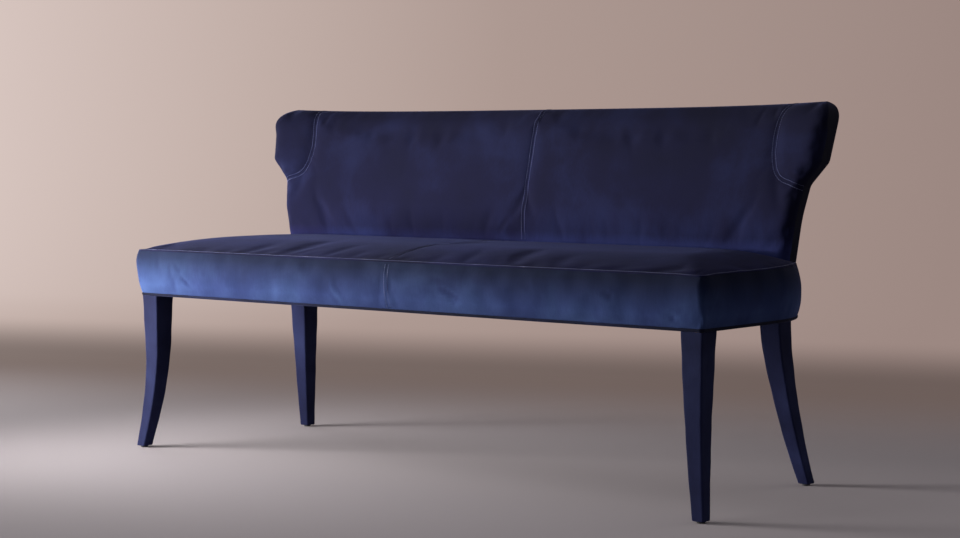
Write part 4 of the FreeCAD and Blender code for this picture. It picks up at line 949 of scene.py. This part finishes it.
# Dust cover: black non-woven cloth stapled under the seat frame. It is cut to the frame, turned in at
# its edge, and hangs a few millimetres between the rails.
COVER_INSET = 0.0078
COVER_HEIGHT = 0.3716
COVER_SAG = 0.0035
COVER_THICK = 0.0006
# Spunbond dust cloth: nearly black and matt, with fine pressed dimples
made = new_material("spunbond_dust_cloth")
dimples = add_node(made[1], "TexVoronoi", {"Vector": made[3], "Scale": 520.0}).outputs["Distance"]
dust_cloth = finished(made, noise(made[1], made[3], 900.0, 3.0), "#0b0b0d", "#26262a", (dimples, 0.5, 0.0005),
                      Roughness=0.8)
cover_along, cover_across = np.linspace(0, 1, 60), np.linspace(0, 1, 30)
cover_low, cover_right = [edge[:, :2] - edge[:, 2:4] * COVER_INSET for edge in (
    resampled(front_part[:, :4], cover_along), resampled(end_part[:, :4], cover_across))]
cover_right[0] = cover_low[-1]
cover_rear_x = np.linspace(0, cover_right[-1, 0], 60)
cover_rear = np.stack([cover_rear_x, back_face(cover_rear_x) + 0.050], axis=1)
cover_rear[:, 1] += (cover_right[-1, 1] - cover_rear[-1, 1]) * cover_along ** 6
cover_left = resampled(np.array([cover_low[0], cover_rear[0]]), cover_across)
cover_plan = patch(cover_low, cover_rear, cover_left, cover_right, cover_along, cover_across)
sag = np.sin(np.pi * cover_across)[:, None] * np.abs(np.cos(1.5 * np.pi * cover_along))[None]
ripple = 0.0006 * np.sin(cover_plan[..., 0] * 61) * np.sin(cover_plan[..., 1] * 47)
cover_grid = np.concatenate([cover_plan, (COVER_HEIGHT - COVER_SAG * sag + ripple * sag)[..., None]], axis=2)
dust = outward(mirrored("dust_cover_cloth", [cover_grid], [dust_cloth]), merge=0.0003)
thickened(dust, COVER_THICK, 0.0)
smoothed(dust)
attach(dust, "root")
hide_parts("dust_cover")

# Staples that hold the dust cover: zinc-plated flat wire, 10 mm wide, one every 45 mm round its edge.
# They are shot through the cloth into the rails, so only their crowns show.
STAPLE_PITCH = 0.045
STAPLE_INSET = 0.009
STAPLE_WIRE = 0.0005
# Zinc-plated steel: bright grey metal with a faint spangle
made = new_material("zinc_plated_steel")
zinc = finished(made, noise(made[1], made[3], 240.0, 3.0), "#8d9096", "#c3c6cb", Metallic=1.0, Roughness=0.38)
edge_half = np.concatenate([cover_low, cover_right[1:]])
edge_runs = runs_along(edge_half)
points, faces = [], []
for side in (1, -1):
    for run in np.arange(STAPLE_PITCH / 2, edge_runs[-1] - 0.08, STAPLE_PITCH):
        here, ahead = at_run(run, edge_runs, edge_half), at_run(run + 0.004, edge_runs, edge_half)
        way = unit(ahead - here)
        inward = np.array([-way[1], way[0]])
        here = here + inward * STAPLE_INSET
        start = len(points)
        for run_mm, drop in ((-5.0, 0.5), (-5.0, -0.6), (-4.3, -1.0), (4.3, -1.0), (5.0, -0.6), (5.0, 0.5)):
            for width in (-0.6, 0.6):
                spot = here + way * run_mm * MM + inward * width * MM
                points.append((side * spot[0], spot[1] + FRONT_EDGE, COVER_HEIGHT + (drop - 0.1) * MM))
        for k in range(start, start + 10, 2):
            faces.append((k, k + 1, k + 3, k + 2) if side > 0 else (k + 2, k + 3, k + 1, k))
staples = only(new_mesh("dust_cover_staples", points, faces, zinc))
thickened(staples, STAPLE_WIRE, 1.0)
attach(staples, "root")

# Webbing: elastic straps of black polypropylene and rubber threads, woven 50 mm wide, with ribs along
# them. The seat has eighteen from front rail to rear rail, the back four across its posts.
STRAP_PITCH = 0.071
STRAP_THICK = 0.0018
STRAP_SECTION = ((-25, 0), (-24.2, 0.5), (24.2, 0.5), (25, 0), (24.2, -0.5), (-24.2, -0.5))
# Woven elastic webbing: dull black with raised ribs
made = new_material("woven_elastic_webbing")
ribs = add_node(made[1], "TexWave", {"Vector": made[3], "Scale": 45.0, "Distortion": 0.4},
                wave_type="BANDS").outputs["Fac"]
webbing = finished(made, noise(made[1], made[3], 700.0, 2.0), "#131316", "#3a3a40", (ribs, 0.6, 0.0006),
                   Roughness=0.75)


def straps(name, lines, width_way):
    """Straps along lines, each a closed strip with rounded edges."""
    points, faces = [], []
    for line in lines:
        lifts = np.cross(unit(np.gradient(line, axis=0)), width_way)
        faces.extend(tube_faces(len(line), len(STRAP_SECTION), len(points)))
        for spot, lift in zip(line, lifts):
            points.extend(spot + np.array(width_way) * across_mm * MM + lift * out * STRAP_THICK
                          for across_mm, out in STRAP_SECTION)
    made = outward(new_mesh(name, points, faces, webbing))
    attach(made, "root")
    return made


lines = []
for number in range(18):
    x = (number - 8.5) * STRAP_PITCH
    y = np.linspace(0.012, float(back_face(x)) + 0.026, 24)
    dip = 0.0012 * np.sin(np.pi * (y - y[0]) / (y[-1] - y[0]))
    lines.append(np.stack([np.full(24, x), y + FRONT_EDGE, 0.4380 - dip], axis=1))
seat_straps = straps("seat_webbing_straps", lines, (1.0, 0.0, 0.0))
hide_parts("seat_webbing")
lines = []
for z in (0.500, 0.578, 0.656, 0.734):
    x = np.linspace(-0.716, 0.716, 60)
    y = back_face(x) + lean(np.full(60, z)) + 0.0273
    lines.append(np.stack([x, y + FRONT_EDGE, np.full(60, z)], axis=1))
back_straps = straps("back_webbing_straps", lines, (0.0, 0.0, 1.0))
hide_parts("back_webbing")

# Frame: planed beech rails, blocks, posts and legs, birch plywood board and wing panels, zinc-plated
# bolts, and moulded black glides. They keep their CAD shapes and get their finish here.
# Planed beech: warm and even, with fine flecks along the grain
made = new_material("planed_beech")
stretched = mapped(made[1], made[3], (0.12, 1.0, 1.0))
grain = worked(made[1], "MULTIPLY_ADD", noise(made[1], stretched, 700.0, 2.0), 0.3,
               noise(made[1], stretched, 90.0, 6.0, distortion=0.5))
beech = finished(made, grain, "#b98a5e", "#dcb78b", (grain, 0.2, 0.0004), Roughness=0.55)

# Birch plywood: pale, with a broad wavy figure
made = new_material("birch_plywood")
figure = noise(made[1], mapped(made[1], made[3], (0.2, 1.0, 1.0)), 60.0, 5.0, distortion=1.5)
plywood = finished(made, figure, "#c9a06c", "#ead0a4", (figure, 0.15, 0.0003), Roughness=0.6)

# Moulded black nylon: satin black, scuffed unevenly
made = new_material("moulded_black_nylon")
scuffs = noise(made[1], made[3], 500.0, 4.0)
nylon = finished(made, scuffs, "#141416", "#141416", (scuffs, 0.2, 0.0003),
                 Roughness=ranged(made[1], scuffs, 0.0, 1.0, 0.35, 0.6))

finishes = {"hardwood": beech, "plywood": plywood, "zinc_steel": zinc, "black_plastic": nylon}
slots = {entry["node"]: entry["material_slot"] for entry in frame["record"]["subparts"]}
for node, piece in frame["nodes"].items():
    if slots.get(node) in finishes:
        piece.data.materials.clear()
        piece.data.materials.append(finishes[slots[node]])
